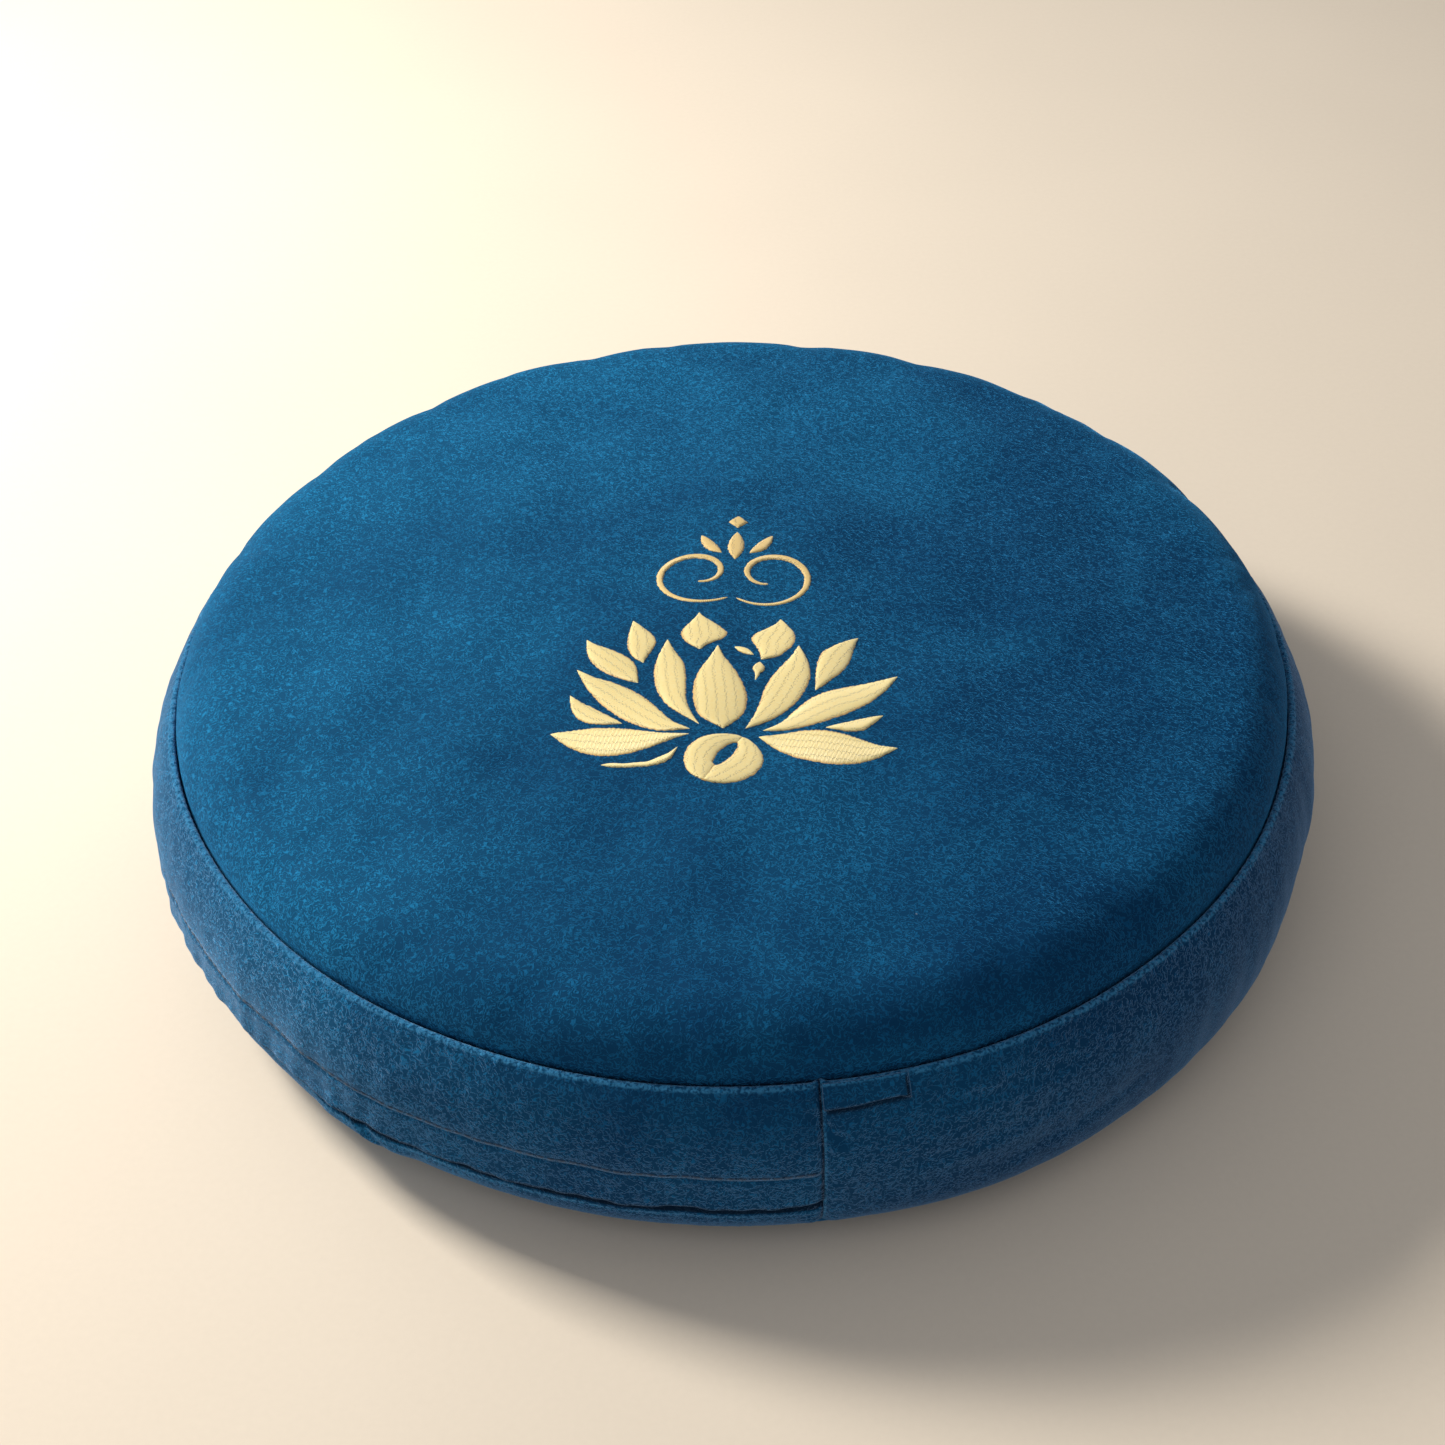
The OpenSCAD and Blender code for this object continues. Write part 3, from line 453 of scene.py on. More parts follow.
def ramp(tree, value, low, high, a=0.0, b=1.0):
    n = put(tree, "MapRange", interpolation_type="SMOOTHSTEP", Value=value, From_Min=low, From_Max=high,
            To_Min=a, To_Max=b)
    return n.outputs[0]


# the last two colours are painted shade for creases and seams and a painted highlight for edges
velvetLook = dict(deep=(0.0006, 0.020, 0.066), body=(0.0018, 0.074, 0.215), light=(0.012, 0.200, 0.455),
                  pileSize=1.15 * mm, wormWide=0.115, patchSize=85 * mm, bump=0.6 * mm,
                  paintedShade=(0.0004, 0.008, 0.026), paintedHighlight=(0.05, 0.27, 0.55))


def makeVelvet(name, sheen, tint, lift=1.0):
    # wormy brushed pile: warped ridges a millimetre wide, over slow brushed patches
    look = velvetLook
    m, tree, shader = newMaterial(name, look["body"], 0.82)
    shader.inputs["Specular IOR Level"].default_value = 0.06
    shader.inputs["Sheen Weight"].default_value = sheen
    shader.inputs["Sheen Roughness"].default_value = 0.32
    shader.inputs["Sheen Tint"].default_value = (*tint, 1)
    at = put(tree, "TexCoord").outputs["Object"]
    warp = put(tree, "TexNoise", Vector=at, Scale=260.0, Detail=1.0).outputs["Color"]
    bent = put(tree, "VectorMath", operation="MULTIPLY_ADD", i0=warp, i1=(0.0014,) * 3, i2=at).outputs[0]
    pile = put(tree, "TexNoise", Vector=bent, Scale=1 / look["pileSize"] * 0.62, Detail=2.0, Roughness=0.55,
               Distortion=0.9).outputs["Fac"]
    ridge = maths(tree, "ABSOLUTE", maths(tree, "MULTIPLY_ADD", pile, 2.0, -1.0))
    worm = ramp(tree, ridge, look["wormWide"], 0.015)
    fine = put(tree, "TexNoise", Vector=at, Scale=2600.0, Detail=1.0).outputs["Fac"]
    patch = put(tree, "TexNoise", Vector=at, Scale=1 / look["patchSize"], Detail=3.0, Roughness=0.55,
                Distortion=0.6).outputs["Fac"]
    brush = put(tree, "TexNoise", Vector=at, Scale=70.0, Detail=2.0, Roughness=0.6).outputs["Fac"]
    tone = maths(tree, "MULTIPLY_ADD", ramp(tree, patch, 0.32, 0.68), 0.50,
                 maths(tree, "MULTIPLY", brush, 0.30))
    # painted light falloff: the left and the back are painted paler, the right and the front darker, as if
    # lit from the left and behind
    across = put(tree, "SeparateXYZ", Vector=at)
    paintedFalloff = ramp(tree, maths(tree, "MULTIPLY_ADD", across.outputs[1], -0.25, across.outputs[0]), 0.20, -0.20,
               -0.42, 0.42)
    tone = maths(tree, "MAXIMUM", maths(tree, "ADD", tone, paintedFalloff), -0.25)
    plain = blendColour(tree, tone, tuple(c * lift * 0.86 for c in look["body"]),
                        tuple(c * lift for c in look["light"]))
    grooved = blendColour(tree, maths(tree, "MULTIPLY_ADD", worm, 0.95, 0.30), look["deep"], plain)
    # painted light from the attribute: its negative side darkens creases and seams as painted shade, its
    # positive side paints a ragged highlight along edges
    paintedLight = put(tree, "Attribute", attribute_name="paintedLight").outputs["Fac"]
    ragged = ramp(tree, put(tree, "TexNoise", Vector=at, Scale=1100.0, Detail=2.0).outputs["Fac"], 0.40,
                  0.56, 0.1, 1.0)
    highlightMask = maths(tree, "MULTIPLY", ramp(tree, paintedLight, 0.12, 0.95), ragged)
    grooved = blendColour(tree, maths(tree, "MULTIPLY", ramp(tree, paintedLight, -0.05, -0.9), 0.9), grooved,
                          look["paintedShade"])
    grooved = blendColour(tree, maths(tree, "MULTIPLY", highlightMask, 0.62), grooved, look["paintedHighlight"])
    # a few specks of pale lint
    speck = put(tree, "TexVoronoi", Vector=at, Scale=95.0, Randomness=1.0)
    cell = put(tree, "TexWhiteNoise", Vector=speck.outputs["Position"]).outputs["Value"]
    lint = maths(tree, "MULTIPLY", ramp(tree, speck.outputs["Distance"], 0.035, 0.02),
                 ramp(tree, cell, 0.978, 0.982))
    colour = blendColour(tree, lint, grooved, (0.55, 0.66, 0.78))
    tree.links.new(colour, shader.inputs["Base Color"])
    height = maths(tree, "MULTIPLY_ADD", fine, 0.25, worm)
    bump = put(tree, "Bump", Height=height, Strength=0.62, Distance=look["bump"])
    tree.links.new(bump.outputs[0], shader.inputs["Normal"])
    return m


velvet = makeVelvet("velvet", 0.7, (0.05, 0.38, 0.86))
sideVelvet = makeVelvet("sideVelvet", 0.85, (0.30, 0.52, 0.88))
print("velvet ready")


def makeThread(name, colour, pale, pitch, sheen=0.2):
    # twisted sewing thread: slanting plies along the piece's own length
    m, tree, shader = newMaterial(name, colour, 0.55)
    shader.inputs["Sheen Weight"].default_value = sheen
    at = put(tree, "TexCoord").outputs["Object"]
    grain = put(tree, "TexNoise", Vector=at, Scale=1 / pitch, Detail=2.0, Distortion=1.5).outputs["Fac"]
    tree.links.new(blendColour(tree, ramp(tree, grain, 0.35, 0.65), colour, pale),
                   shader.inputs["Base Color"])
    bump = put(tree, "Bump", Height=grain, Strength=0.6, Distance=0.15 * mm)
    tree.links.new(bump.outputs[0], shader.inputs["Normal"])
    return m


blueThread = makeThread("blueThread", (0.012, 0.075, 0.19), (0.05, 0.19, 0.40), 0.5 * mm)
darkThread = makeThread("darkThread", (0.004, 0.03, 0.08), (0.012, 0.06, 0.14), 0.5 * mm)
cottonThread = makeThread("cottonThread", (0.62, 0.57, 0.46), (0.82, 0.78, 0.68), 0.5 * mm)

# pale is the colour of the painted highlight streaks; edge is the amber of painted shade between threads
# and at the rim, where it is also the underlay's colour
goldLook = dict(pale=(1.0, 0.95, 0.55), body=(1.0, 0.86, 0.36), edge=(0.52, 0.24, 0.012),
                stitch=0.42, row=3.1)


def makeGold(name, darker=0.0):
    # satin fill: close threads across the shape with painted shade between them, rows of needle holes
    # painted dark as shade, pale streaks painted as highlights, amber towards its edge that is partly
    # painted shade and partly the underlay's colour.
    # The piece's uv is (across, along) in millimetres, and its attribute edge is 1 at the rim.
    look = goldLook
    m, tree, shader = newMaterial(name, look["body"], 0.42)
    shader.inputs["Specular IOR Level"].default_value = 0.55
    shader.inputs["Sheen Weight"].default_value = 0.25
    shader.inputs["Anisotropic"].default_value = 0.35
    uv = put(tree, "TexCoord").outputs["UV"]
    parts = put(tree, "SeparateXYZ", Vector=uv)
    across, along = parts.outputs[0], parts.outputs[1]
    slant = maths(tree, "MULTIPLY_ADD", across, 0.22, along)
    wobble = put(tree, "TexNoise", Vector=uv, Scale=1.3, Detail=2.0).outputs["Fac"]
    line = maths(tree, "MULTIPLY_ADD", wobble, 0.28, slant)
    thread = maths(tree, "SINE", maths(tree, "MULTIPLY", line, 2 * math.pi / look["stitch"]))
    number = maths(tree, "FLOOR", maths(tree, "DIVIDE", line, look["stitch"]))
    shift = put(tree, "TexWhiteNoise", noise_dimensions="1D", W=number).outputs["Value"]
    cross = maths(tree, "ADD", maths(tree, "DIVIDE", across, look["row"]),
                  maths(tree, "MULTIPLY", shift, 0.33))
    hole = maths(tree, "ABSOLUTE", maths(tree, "SUBTRACT", maths(tree, "FRACT", cross), 0.5))
    pricked = maths(tree, "MULTIPLY", ramp(tree, hole, 0.075, 0.02), ramp(tree, thread, 0.2, -0.5))
    edge = put(tree, "Attribute", attribute_name="edge").outputs["Fac"]
    streak = put(tree, "TexNoise", Vector=put(tree, "Mapping", Vector=uv, Scale=(0.5, 3.0, 1.0)).outputs[0],
                 Scale=1.2, Detail=3.0).outputs["Fac"]
    # pale streaks along the threads are painted highlights
    tone = blendColour(tree, ramp(tree, streak, 0.30, 0.70), look["body"], look["pale"])
    # painted shade in the valleys between the threads
    tone = blendColour(tree, ramp(tree, thread, -1.0, 0.4, 0.45, 0.0), tone, look["edge"])
    # amber at the rim: partly painted shade, partly the underlay's colour; darker blends amber evenly over
    # the whole piece as its own colour
    rim = maths(tree, "MULTIPLY", ramp(tree, edge, 0.78, 1.0), 0.85)
    tone = blendColour(tree, maths(tree, "MAXIMUM", rim, darker), tone, look["edge"])
    # painted shade in the needle holes
    tone = blendColour(tree, pricked, tone, (0.10, 0.05, 0.02))
    tree.links.new(tone, shader.inputs["Base Color"])
    height = maths(tree, "SUBTRACT", thread, maths(tree, "MULTIPLY", pricked, 3.0))
    bump = put(tree, "Bump", Height=height, Strength=0.55, Distance=0.12 * mm)
    tree.links.new(bump.outputs[0], shader.inputs["Normal"])
    return m


gold = makeGold("goldSatin")
goldLine = makeGold("goldLine", 0.38)


def makeWoven(name, colour, dark, pitch, rough=0.85, bumpSize=0.18 * mm):
    # plain weave: two sets of threads crossing, from Object coordinates
    m, tree, shader = newMaterial(name, colour, rough)
    at = put(tree, "TexCoord").outputs["Object"]
    parts = put(tree, "SeparateXYZ", Vector=at)
    turn = maths(tree, "ARCTAN2", parts.outputs[1], parts.outputs[0])
    warpLine = maths(tree, "SINE", maths(tree, "MULTIPLY", turn, 0.19 / pitch * 2 * math.pi))
    out = put(tree, "VectorMath", operation="LENGTH", i0=at).outputs["Value"]
    weftLine = maths(tree, "SINE", maths(tree, "MULTIPLY", maths(tree, "ADD", out, parts.outputs[2]),
                                         2 * math.pi / pitch))
    weave = maths(tree, "MULTIPLY", warpLine, weftLine)
    slub = put(tree, "TexNoise", Vector=at, Scale=160.0, Detail=3.0).outputs["Fac"]
    both = maths(tree, "MULTIPLY_ADD", slub, 0.8, maths(tree, "MULTIPLY", weave, 0.3))
    tree.links.new(blendColour(tree, ramp(tree, both, 0.05, 0.75), dark, colour),
                   shader.inputs["Base Color"])
    bump = put(tree, "Bump", Height=both, Strength=0.6, Distance=bumpSize)
    tree.links.new(bump.outputs[0], shader.inputs["Normal"])
    return m


cotton = makeWoven("cotton", (0.80, 0.74, 0.62), (0.58, 0.52, 0.42), 0.9 * mm)
zipTape = makeWoven("zipTape", (0.020, 0.075, 0.17), (0.006, 0.03, 0.08), 0.7 * mm)
backing = makeWoven("backing", (0.86, 0.85, 0.82), (0.70, 0.69, 0.66), 0.5 * mm)


def makeCoil():
    # nylon coil: a tooth every 1.2 mm round the zip
    m, tree, shader = newMaterial("zipCoil", (0.02, 0.08, 0.18), 0.35)
    at = put(tree, "TexCoord").outputs["Object"]
    parts = put(tree, "SeparateXYZ", Vector=at)
    turn = maths(tree, "ARCTAN2", parts.outputs[1], parts.outputs[0])
    tooth = maths(tree, "SINE", maths(tree, "MULTIPLY", turn, 0.1936 / (1.2 * mm) * 2 * math.pi))
    grain = put(tree, "TexNoise", Vector=at, Scale=900.0, Detail=2.0).outputs["Fac"]
    shade = maths(tree, "MULTIPLY_ADD", grain, 0.5, tooth)
    tree.links.new(blendColour(tree, ramp(tree, shade, -0.9, 0.9), (0.006, 0.03, 0.07),
                               (0.035, 0.13, 0.27)), shader.inputs["Base Color"])
    bump = put(tree, "Bump", Height=tooth, Strength=1.0, Distance=0.4 * mm)
    tree.links.new(bump.outputs[0], shader.inputs["Normal"])
    return m


def makeMetal():
    # plated zinc: fine brushed scratches, worn spots
    m, tree, shader = newMaterial("zipMetal", (0.62, 0.63, 0.65), 0.32)
    shader.inputs["Metallic"].default_value = 1.0
    at = put(tree, "TexCoord").outputs["Object"]
    lines = put(tree, "TexNoise", Vector=put(tree, "Mapping", Vector=at, Scale=(1.0, 1.0, 9.0)).outputs[0],
                Scale=700.0, Detail=4.0).outputs["Fac"]
    wear = put(tree, "TexNoise", Vector=at, Scale=260.0, Detail=3.0).outputs["Fac"]
    tree.links.new(blendColour(tree, ramp(tree, wear, 0.4, 0.7), (0.70, 0.71, 0.73), (0.46, 0.46, 0.47)),
                   shader.inputs["Base Color"])
    tree.links.new(ramp(tree, lines, 0.3, 0.7, 0.24, 0.46), shader.inputs["Roughness"])
    bump = put(tree, "Bump", Height=lines, Strength=0.25, Distance=0.05 * mm)
    tree.links.new(bump.outputs[0], shader.inputs["Normal"])
    return m


def makeHulls():
    # husks packed together: cracked cells of brown
    m, tree, shader = newMaterial("hulls", (0.16, 0.08, 0.04), 0.7)
    at = put(tree, "TexCoord").outputs["Object"]
    cells = put(tree, "TexVoronoi", Vector=at, Scale=230.0)
    shade = put(tree, "TexWhiteNoise", Vector=cells.outputs["Position"]).outputs["Value"]
    tone = blendColour(tree, shade, (0.07, 0.03, 0.015), (0.26, 0.15, 0.08))
    tree.links.new(tone, shader.inputs["Base Color"])
    bump = put(tree, "Bump", Height=cells.outputs["Distance"], Strength=0.9, Distance=1.5 * mm, invert=True)
    tree.links.new(bump.outputs[0], shader.inputs["Normal"])
    return m


zipCoil, zipMetal, hulls = makeCoil(), makeMetal(), makeHulls()
nodeLooks = dict(
    zip_tape_upper=zipTape, zip_tape_lower=zipTape, zip_coil_upper=zipCoil, zip_coil_lower=zipCoil,
    zip_bar_tacks=blueThread, zip_slider=zipMetal, zip_pull=zipMetal,
    top_seam_thread=blueThread, bottom_seam_thread=blueThread, front_joint_thread=blueThread,
    rear_joint_thread=blueThread, lower_zip_stitch=blueThread, inner_top_thread=cottonThread,
    inner_bottom_thread=cottonThread, inner_closing_stitch=cottonThread,
)
for nodeName, look in nodeLooks.items():
    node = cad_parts[nodeName]
    node.data.materials.clear()
    node.data.materials.append(look)
print("materials ready")

# the crown
crown = dict(columns=720, midRows=70, edgeRows=46, edgeBand=32 * mm, turnIn=4 * mm)


def buildCrown():
    # the dome's profile carried round, with the edge turned down into the seam
    c = crown
    length = dome["length"]
    s = np.concatenate([np.linspace(0, length - c["edgeBand"], c["midRows"], endpoint=False),
                        np.linspace(length - c["edgeBand"], length, c["edgeRows"])])
    r, z, a = domePoint(dome, s)
    dr, dz, _ = domePoint(dome, s, cover["cloth"])
    # the last few millimetres are drawn down into the seam's valley
    valley = 0.9 * mm * np.exp(-((length - s) / (3.2 * mm)) ** 2)
    r, z = r - valley * np.sin(a), z - valley * np.cos(a)
    dr, dz = dr - valley * np.sin(a), dz - valley * np.cos(a)
    down = np.linspace(0, 1, 5)[1:]
    arc = tilt - down * c["turnIn"] / side["radius"]
    fr, fz = sidePoint(side, arc, hem + cover["laid"] + 0.9 * mm * (1 - down) * 0.6)
    gr, gz = sidePoint(side, arc, hem + cover["laid"] + cover["cloth"] + 0.3 * mm)
    r, z = np.concatenate([r, fr]), np.concatenate([z, fz])
    dr, dz = np.concatenate([dr, gr]), np.concatenate([dz, gz])
    v = np.concatenate([s / length, np.ones(4)])
    v = np.minimum(v, 0.99999)
    phi = np.linspace(0, 2 * math.pi, c["columns"], endpoint=False)
    outer = softened(spun(phi, r, z), np.broadcast_to(v, (phi.size, v.size)))
    lining = softened(spun(phi, dr, dz), np.broadcast_to(v, (phi.size, v.size)))
    # painted shade where the crown turns down into the seam's valley, full painted shade on the turned-in
    # edge
    seamShade = np.concatenate([-np.exp(-((length - s) / (1.7 * mm)) ** 2), np.full(4, -1.0)])
    return shell(outer, lining), np.tile(seamShade, 2 * phi.size)


crownPart, crownPaintedLight = buildCrown()
topPanel = addPiece("topPanel", crownPart, velvet, ["top_panel"], paintedLight=crownPaintedLight)
print("crown made")

# the base
under = dict(columns=480, flatRows=26, rollRows=26)


def buildBase():
    # flat where it rests, rolled up to the bottom seam
    u = under
    s = np.concatenate([np.linspace(0, base["flat"] - 8 * mm, u["flatRows"], endpoint=False),
                        np.linspace(base["flat"] - 8 * mm, base["length"], u["rollRows"])])
    r, z, a = basePoint(base, s)
    dr, dz, _ = basePoint(base, s, cover["cloth"])
    valley = 0.6 * mm * np.exp(-((base["length"] - s) / (2.6 * mm)) ** 2)
    r, z = r - valley * np.sin(a), z + valley * np.cos(a)
    dr, dz = dr - valley * np.sin(a), dz + valley * np.cos(a)
    up = np.linspace(0, 1, 5)[1:]
    arc = -tilt + up * crown["turnIn"] / side["radius"]
    fr, fz = sidePoint(side, arc, hem + cover["laid"] + 0.3 * mm)
    gr, gz = sidePoint(side, arc, hem + cover["laid"] + cover["cloth"] + 0.3 * mm)
    v = np.concatenate([3 - s / base["length"], np.full(4, 2.00001)])
    r, z = np.concatenate([r, fr]), np.concatenate([z, fz])
    dr, dz = np.concatenate([dr, gr]), np.concatenate([dz, gz])
    v = np.maximum(v, 2.00001)
    phi = np.linspace(0, 2 * math.pi, u["columns"], endpoint=False)
    outer = softened(spun(phi, r, z), np.broadcast_to(v, (phi.size, v.size)))
    lining = softened(spun(phi, dr, dz), np.broadcast_to(v, (phi.size, v.size)))
    outer[..., 2] = np.maximum(outer[..., 2], 0.0)
    return shell(outer, lining)


bottomPanel = addPiece("bottomPanel", buildBase(), velvet, ["bottom_panel"])
print("base made")

# the side band
band = dict(step=0.25, hemRows=9, crinkle=0.34 * mm, pitch=3.1 * mm, jointDip=1.2 * mm, jointRoll=1.6 * mm)
crinkleRng = np.random.default_rng(23)
crinklePhase = np.cumsum(crinkleRng.uniform(0.65, 1.35, 600)) * 2 * math.pi
crinkleSize = crinkleRng.uniform(0.35, 1.0, 600)


def stitchPulse(phi):
    # one soft puff of cloth between two stitches, uneven in length and size
    place = (phi + math.pi) * 190 * mm / band["pitch"]
    wave = np.interp(place, np.arange(600), crinklePhase)
    return np.interp(place, np.arange(600), crinkleSize) * (0.5 + 0.5 * np.cos(wave))


def hemProfile(angle, top):
    # the turned edge: half a circle from the band's face over to its back
    sign = 1 if top else -1
    cr, cz = sidePoint(side, sign * tilt, hem / 2)
    turn = np.linspace(0, math.pi, band["hemRows"])[1:]
    at = sign * (tilt + turn)
    return cr + hem / 2 * np.cos(at), cz + hem / 2 * np.sin(at)


def jointRolls(phi, first, last):
    # 1 at each end of a strip, where its edge turns into the joint seam, falling to 0 inside it
    gap = np.minimum(np.abs(phi - math.radians(first)), np.abs(phi - math.radians(last))) * 200 * mm
    return np.exp(-(gap / band["jointRoll"]) ** 2), gap


def stripPoints(phi, r, z, v, first, last, edgeTop=True, edgeLow=True):
    # carries a profile along the strip, adds the crinkled edges and the dips at both joints
    grid = spun(phi, r, z)
    vv = np.broadcast_to(v, grid.shape[:2])
    pulse = stitchPulse(phi)[:, None]
    amount = np.zeros_like(vv)
    if edgeTop:
        amount = amount + np.exp(-((vv - 1) * 2 * tilt * side["radius"] / (1.9 * mm)) ** 2)
    if edgeLow:
        amount = amount + np.exp(-((2 - vv) * 2 * tilt * side["radius"] / (1.9 * mm)) ** 2)
    rolls, gap = jointRolls(phi, first, last)
    push = band["crinkle"] * (pulse * 1.5 - 0.5) * amount
    # small level puckers beside the joints
    level = 0.22 * mm * np.cos(grid[..., 2] * 2 * math.pi / (3.4 * mm) + 3 * np.sin(grid[..., 2] * 300))
    dip = -band["jointDip"] * rolls[:, None] + level * np.exp(-((gap - 3 * mm) / (3.2 * mm)) ** 2)[:, None]
    radial = np.stack([np.cos(phi), np.sin(phi)], -1)[:, None, :]
    grid = grid.copy()
    grid[..., :2] += radial * (push * 0.6 + dip)[..., None]
    grid[..., 2] += push * np.where(vv < 1.5, 0.9, -0.5)
    return softened(grid, vv)


def paintedLightOf(phi, v, first, last, atFirst, atLast, low=-0.9):
    # a painted highlight along the top hem, a painted shade line at the bottom seam, and each joint's own
    # edge painted as highlight or shade
    down = np.maximum(np.asarray(v) - 1, 0) * 2 * tilt * side["radius"]
    up = (2 - np.asarray(v)) * 2 * tilt * side["radius"]
    wide = (0.35 + 0.9 * stitchPulse(phi))[:, None] * mm
    out = np.exp(-(down[None, :] / wide) ** 2) + low * np.exp(-(up[None, :] / (0.8 * mm)) ** 2)
    for edge, value in ((first, atFirst), (last, atLast)):
        gap = np.abs(phi - math.radians(edge)) * 200 * mm
        part = np.exp(-(gap / (0.75 * mm)) ** 4)[:, None]
        out = out * (1 - part) + value * part
    return out


def columnsOf(first, last):
    # finer columns at both ends, where the strip turns into its joint
    count = int((last - first) / band["step"])
    even = np.linspace(first + 1, last - 1, count)
    ends = np.linspace(0, 1, 7)[:-1]
    return np.radians(np.concatenate([first + ends, even, last - ends[::-1]]))


def buildPlainBand():
    first, last = cover["frontJoint"] + 0.02, cover["rearJoint"] - 0.02
    phi = columnsOf(first, last)
    arc = np.linspace(-tilt, tilt, 58)
    r, z = sidePoint(side, arc)
    topR, topZ = hemProfile(tilt, True)
    lowR, lowZ = hemProfile(tilt, False)
    outR = np.concatenate([lowR[::-1], r, topR])
    outZ = np.concatenate([lowZ[::-1], z, topZ])
    liningArc = np.linspace(-tilt + 0.02, tilt - 0.02, outR.size)
    inR, inZ = sidePoint(side, liningArc, hem + 0.02 * mm)
    v = np.concatenate([np.full(lowR.size, 2.0), 1 + (tilt - arc) / (2 * tilt), np.full(topR.size, 1.0)])
    liningV = 1 + (tilt - liningArc) / (2 * tilt)
    outer = stripPoints(phi, outR, outZ, v, first, last)
    lining = stripPoints(phi, inR, inZ, liningV, first, last, False, False)
    paintedLight = paintedLightOf(phi, v, first, last, 1.0, -1.0)
    # painted shade on the band along the folded tuck's lower edge
    along = (np.degrees(phi) - first - tuck["start"]) / (tuck["end"] - tuck["start"])
    under = tilt - np.radians(tuck["low"] + (tuck["lowEnd"] - tuck["low"]) * along)
    shade = np.exp(-((np.concatenate([np.full(lowR.size, -tilt), arc, np.full(topR.size, tilt)])[None, :]
                      - under[:, None] + 0.012) * side["radius"] / (1.0 * mm)) ** 2)
    paintedLight = paintedLight - 0.95 * shade * ((along > 0.02) & (along < 1.0))[:, None]
    folded, foldedPaintedLight = buildTuck(first)
    parts = [shell(outer, lining, wrap=False), folded]
    return joined(parts), np.concatenate([paintedLight.ravel(), paintedLight.ravel(), foldedPaintedLight])


tuck = dict(start=0.1, end=7.6, low=8.8, lowEnd=7.2, lift=1.35 * mm)


def buildTuck(first):
    # the spare cloth of the band folded flat under the top seam, beside the front joint
    t = tuck
    phi = np.radians(first + np.linspace(t["start"], t["end"], 70))
    part = (phi - phi[0]) / (phi[-1] - phi[0])
    low = np.radians(t["low"] + (t["lowEnd"] - t["low"]) * part)
    low = low + np.radians(1.5) * smooth((part - 0.86) / 0.14)
    q = np.linspace(0, 1, 26)[None, :]
    arc = tilt + 0.015 - (low[:, None] + 0.015) * q
    lift = t["lift"] * (1 - np.clip((q - 0.82) / 0.18, 0, 1) ** 3) * np.ones_like(arc)
    lift = lift * np.sqrt(np.clip(1 - (np.clip(part[:, None] - 0.93, 0, 1) / 0.07) ** 2, 0, 1))
    lift = lift * (0.80 + 0.2 * smooth(part[:, None] / 0.1))
    lift = lift + 0.25 * mm * np.sin(part[:, None] * 9) * (1 - q) * q * 2
    v = 1 + (tilt - np.minimum(arc, tilt)) / (2 * tilt)

    def at(out):
        r, z = sidePoint(side, arc, -out)
        p = np.broadcast_to(phi[:, None], r.shape)
        return softened(np.stack([r * np.cos(p), r * np.sin(p), z], -1), v)
    # painted highlight along the fold's upper edge and at its far end, painted shade along its lower edge
    # and just before its far end
    edge = 0.9 * np.exp(-(q / 0.10) ** 2) * np.ones_like(arc) - 1.0 * np.exp(-((1 - q) / 0.09) ** 2)
    edge = edge - 1.0 * np.exp(-((part[:, None] - 0.955) / 0.022) ** 2) * (1 - np.exp(-(q / 0.10) ** 2))
    edge = edge + 0.9 * np.exp(-((part[:, None] - 1) / 0.02) ** 2)
    return shell(at(lift), at(-0.9 * mm * np.ones_like(arc)), wrap=False), np.tile(edge.ravel(), 2)


bandPart, bandPaintedLight = buildPlainBand()
plainBand = addPiece("plainBand", bandPart, sideVelvet, ["plain_band"], paintedLight=bandPaintedLight)
print("plain band made")

# the zipped side
zipSide = dict(topstitch=41.1 * mm, flapEdge=flapLow.z, stripTop=30.1 * mm, stripTurn=24.1 * mm,
               stripR=cover["fullRadius"] - 3.2 * mm)
flapTopAngle = math.asin((41 * mm - side["z"]) / side["radius"])
turnAngle = math.asin((zipSide["stripTurn"] - side["z"]) / side["radius"])
zipFirst, zipLast = cover["rearJoint"] + 0.02, cover["frontJoint"] + 360 - 0.02


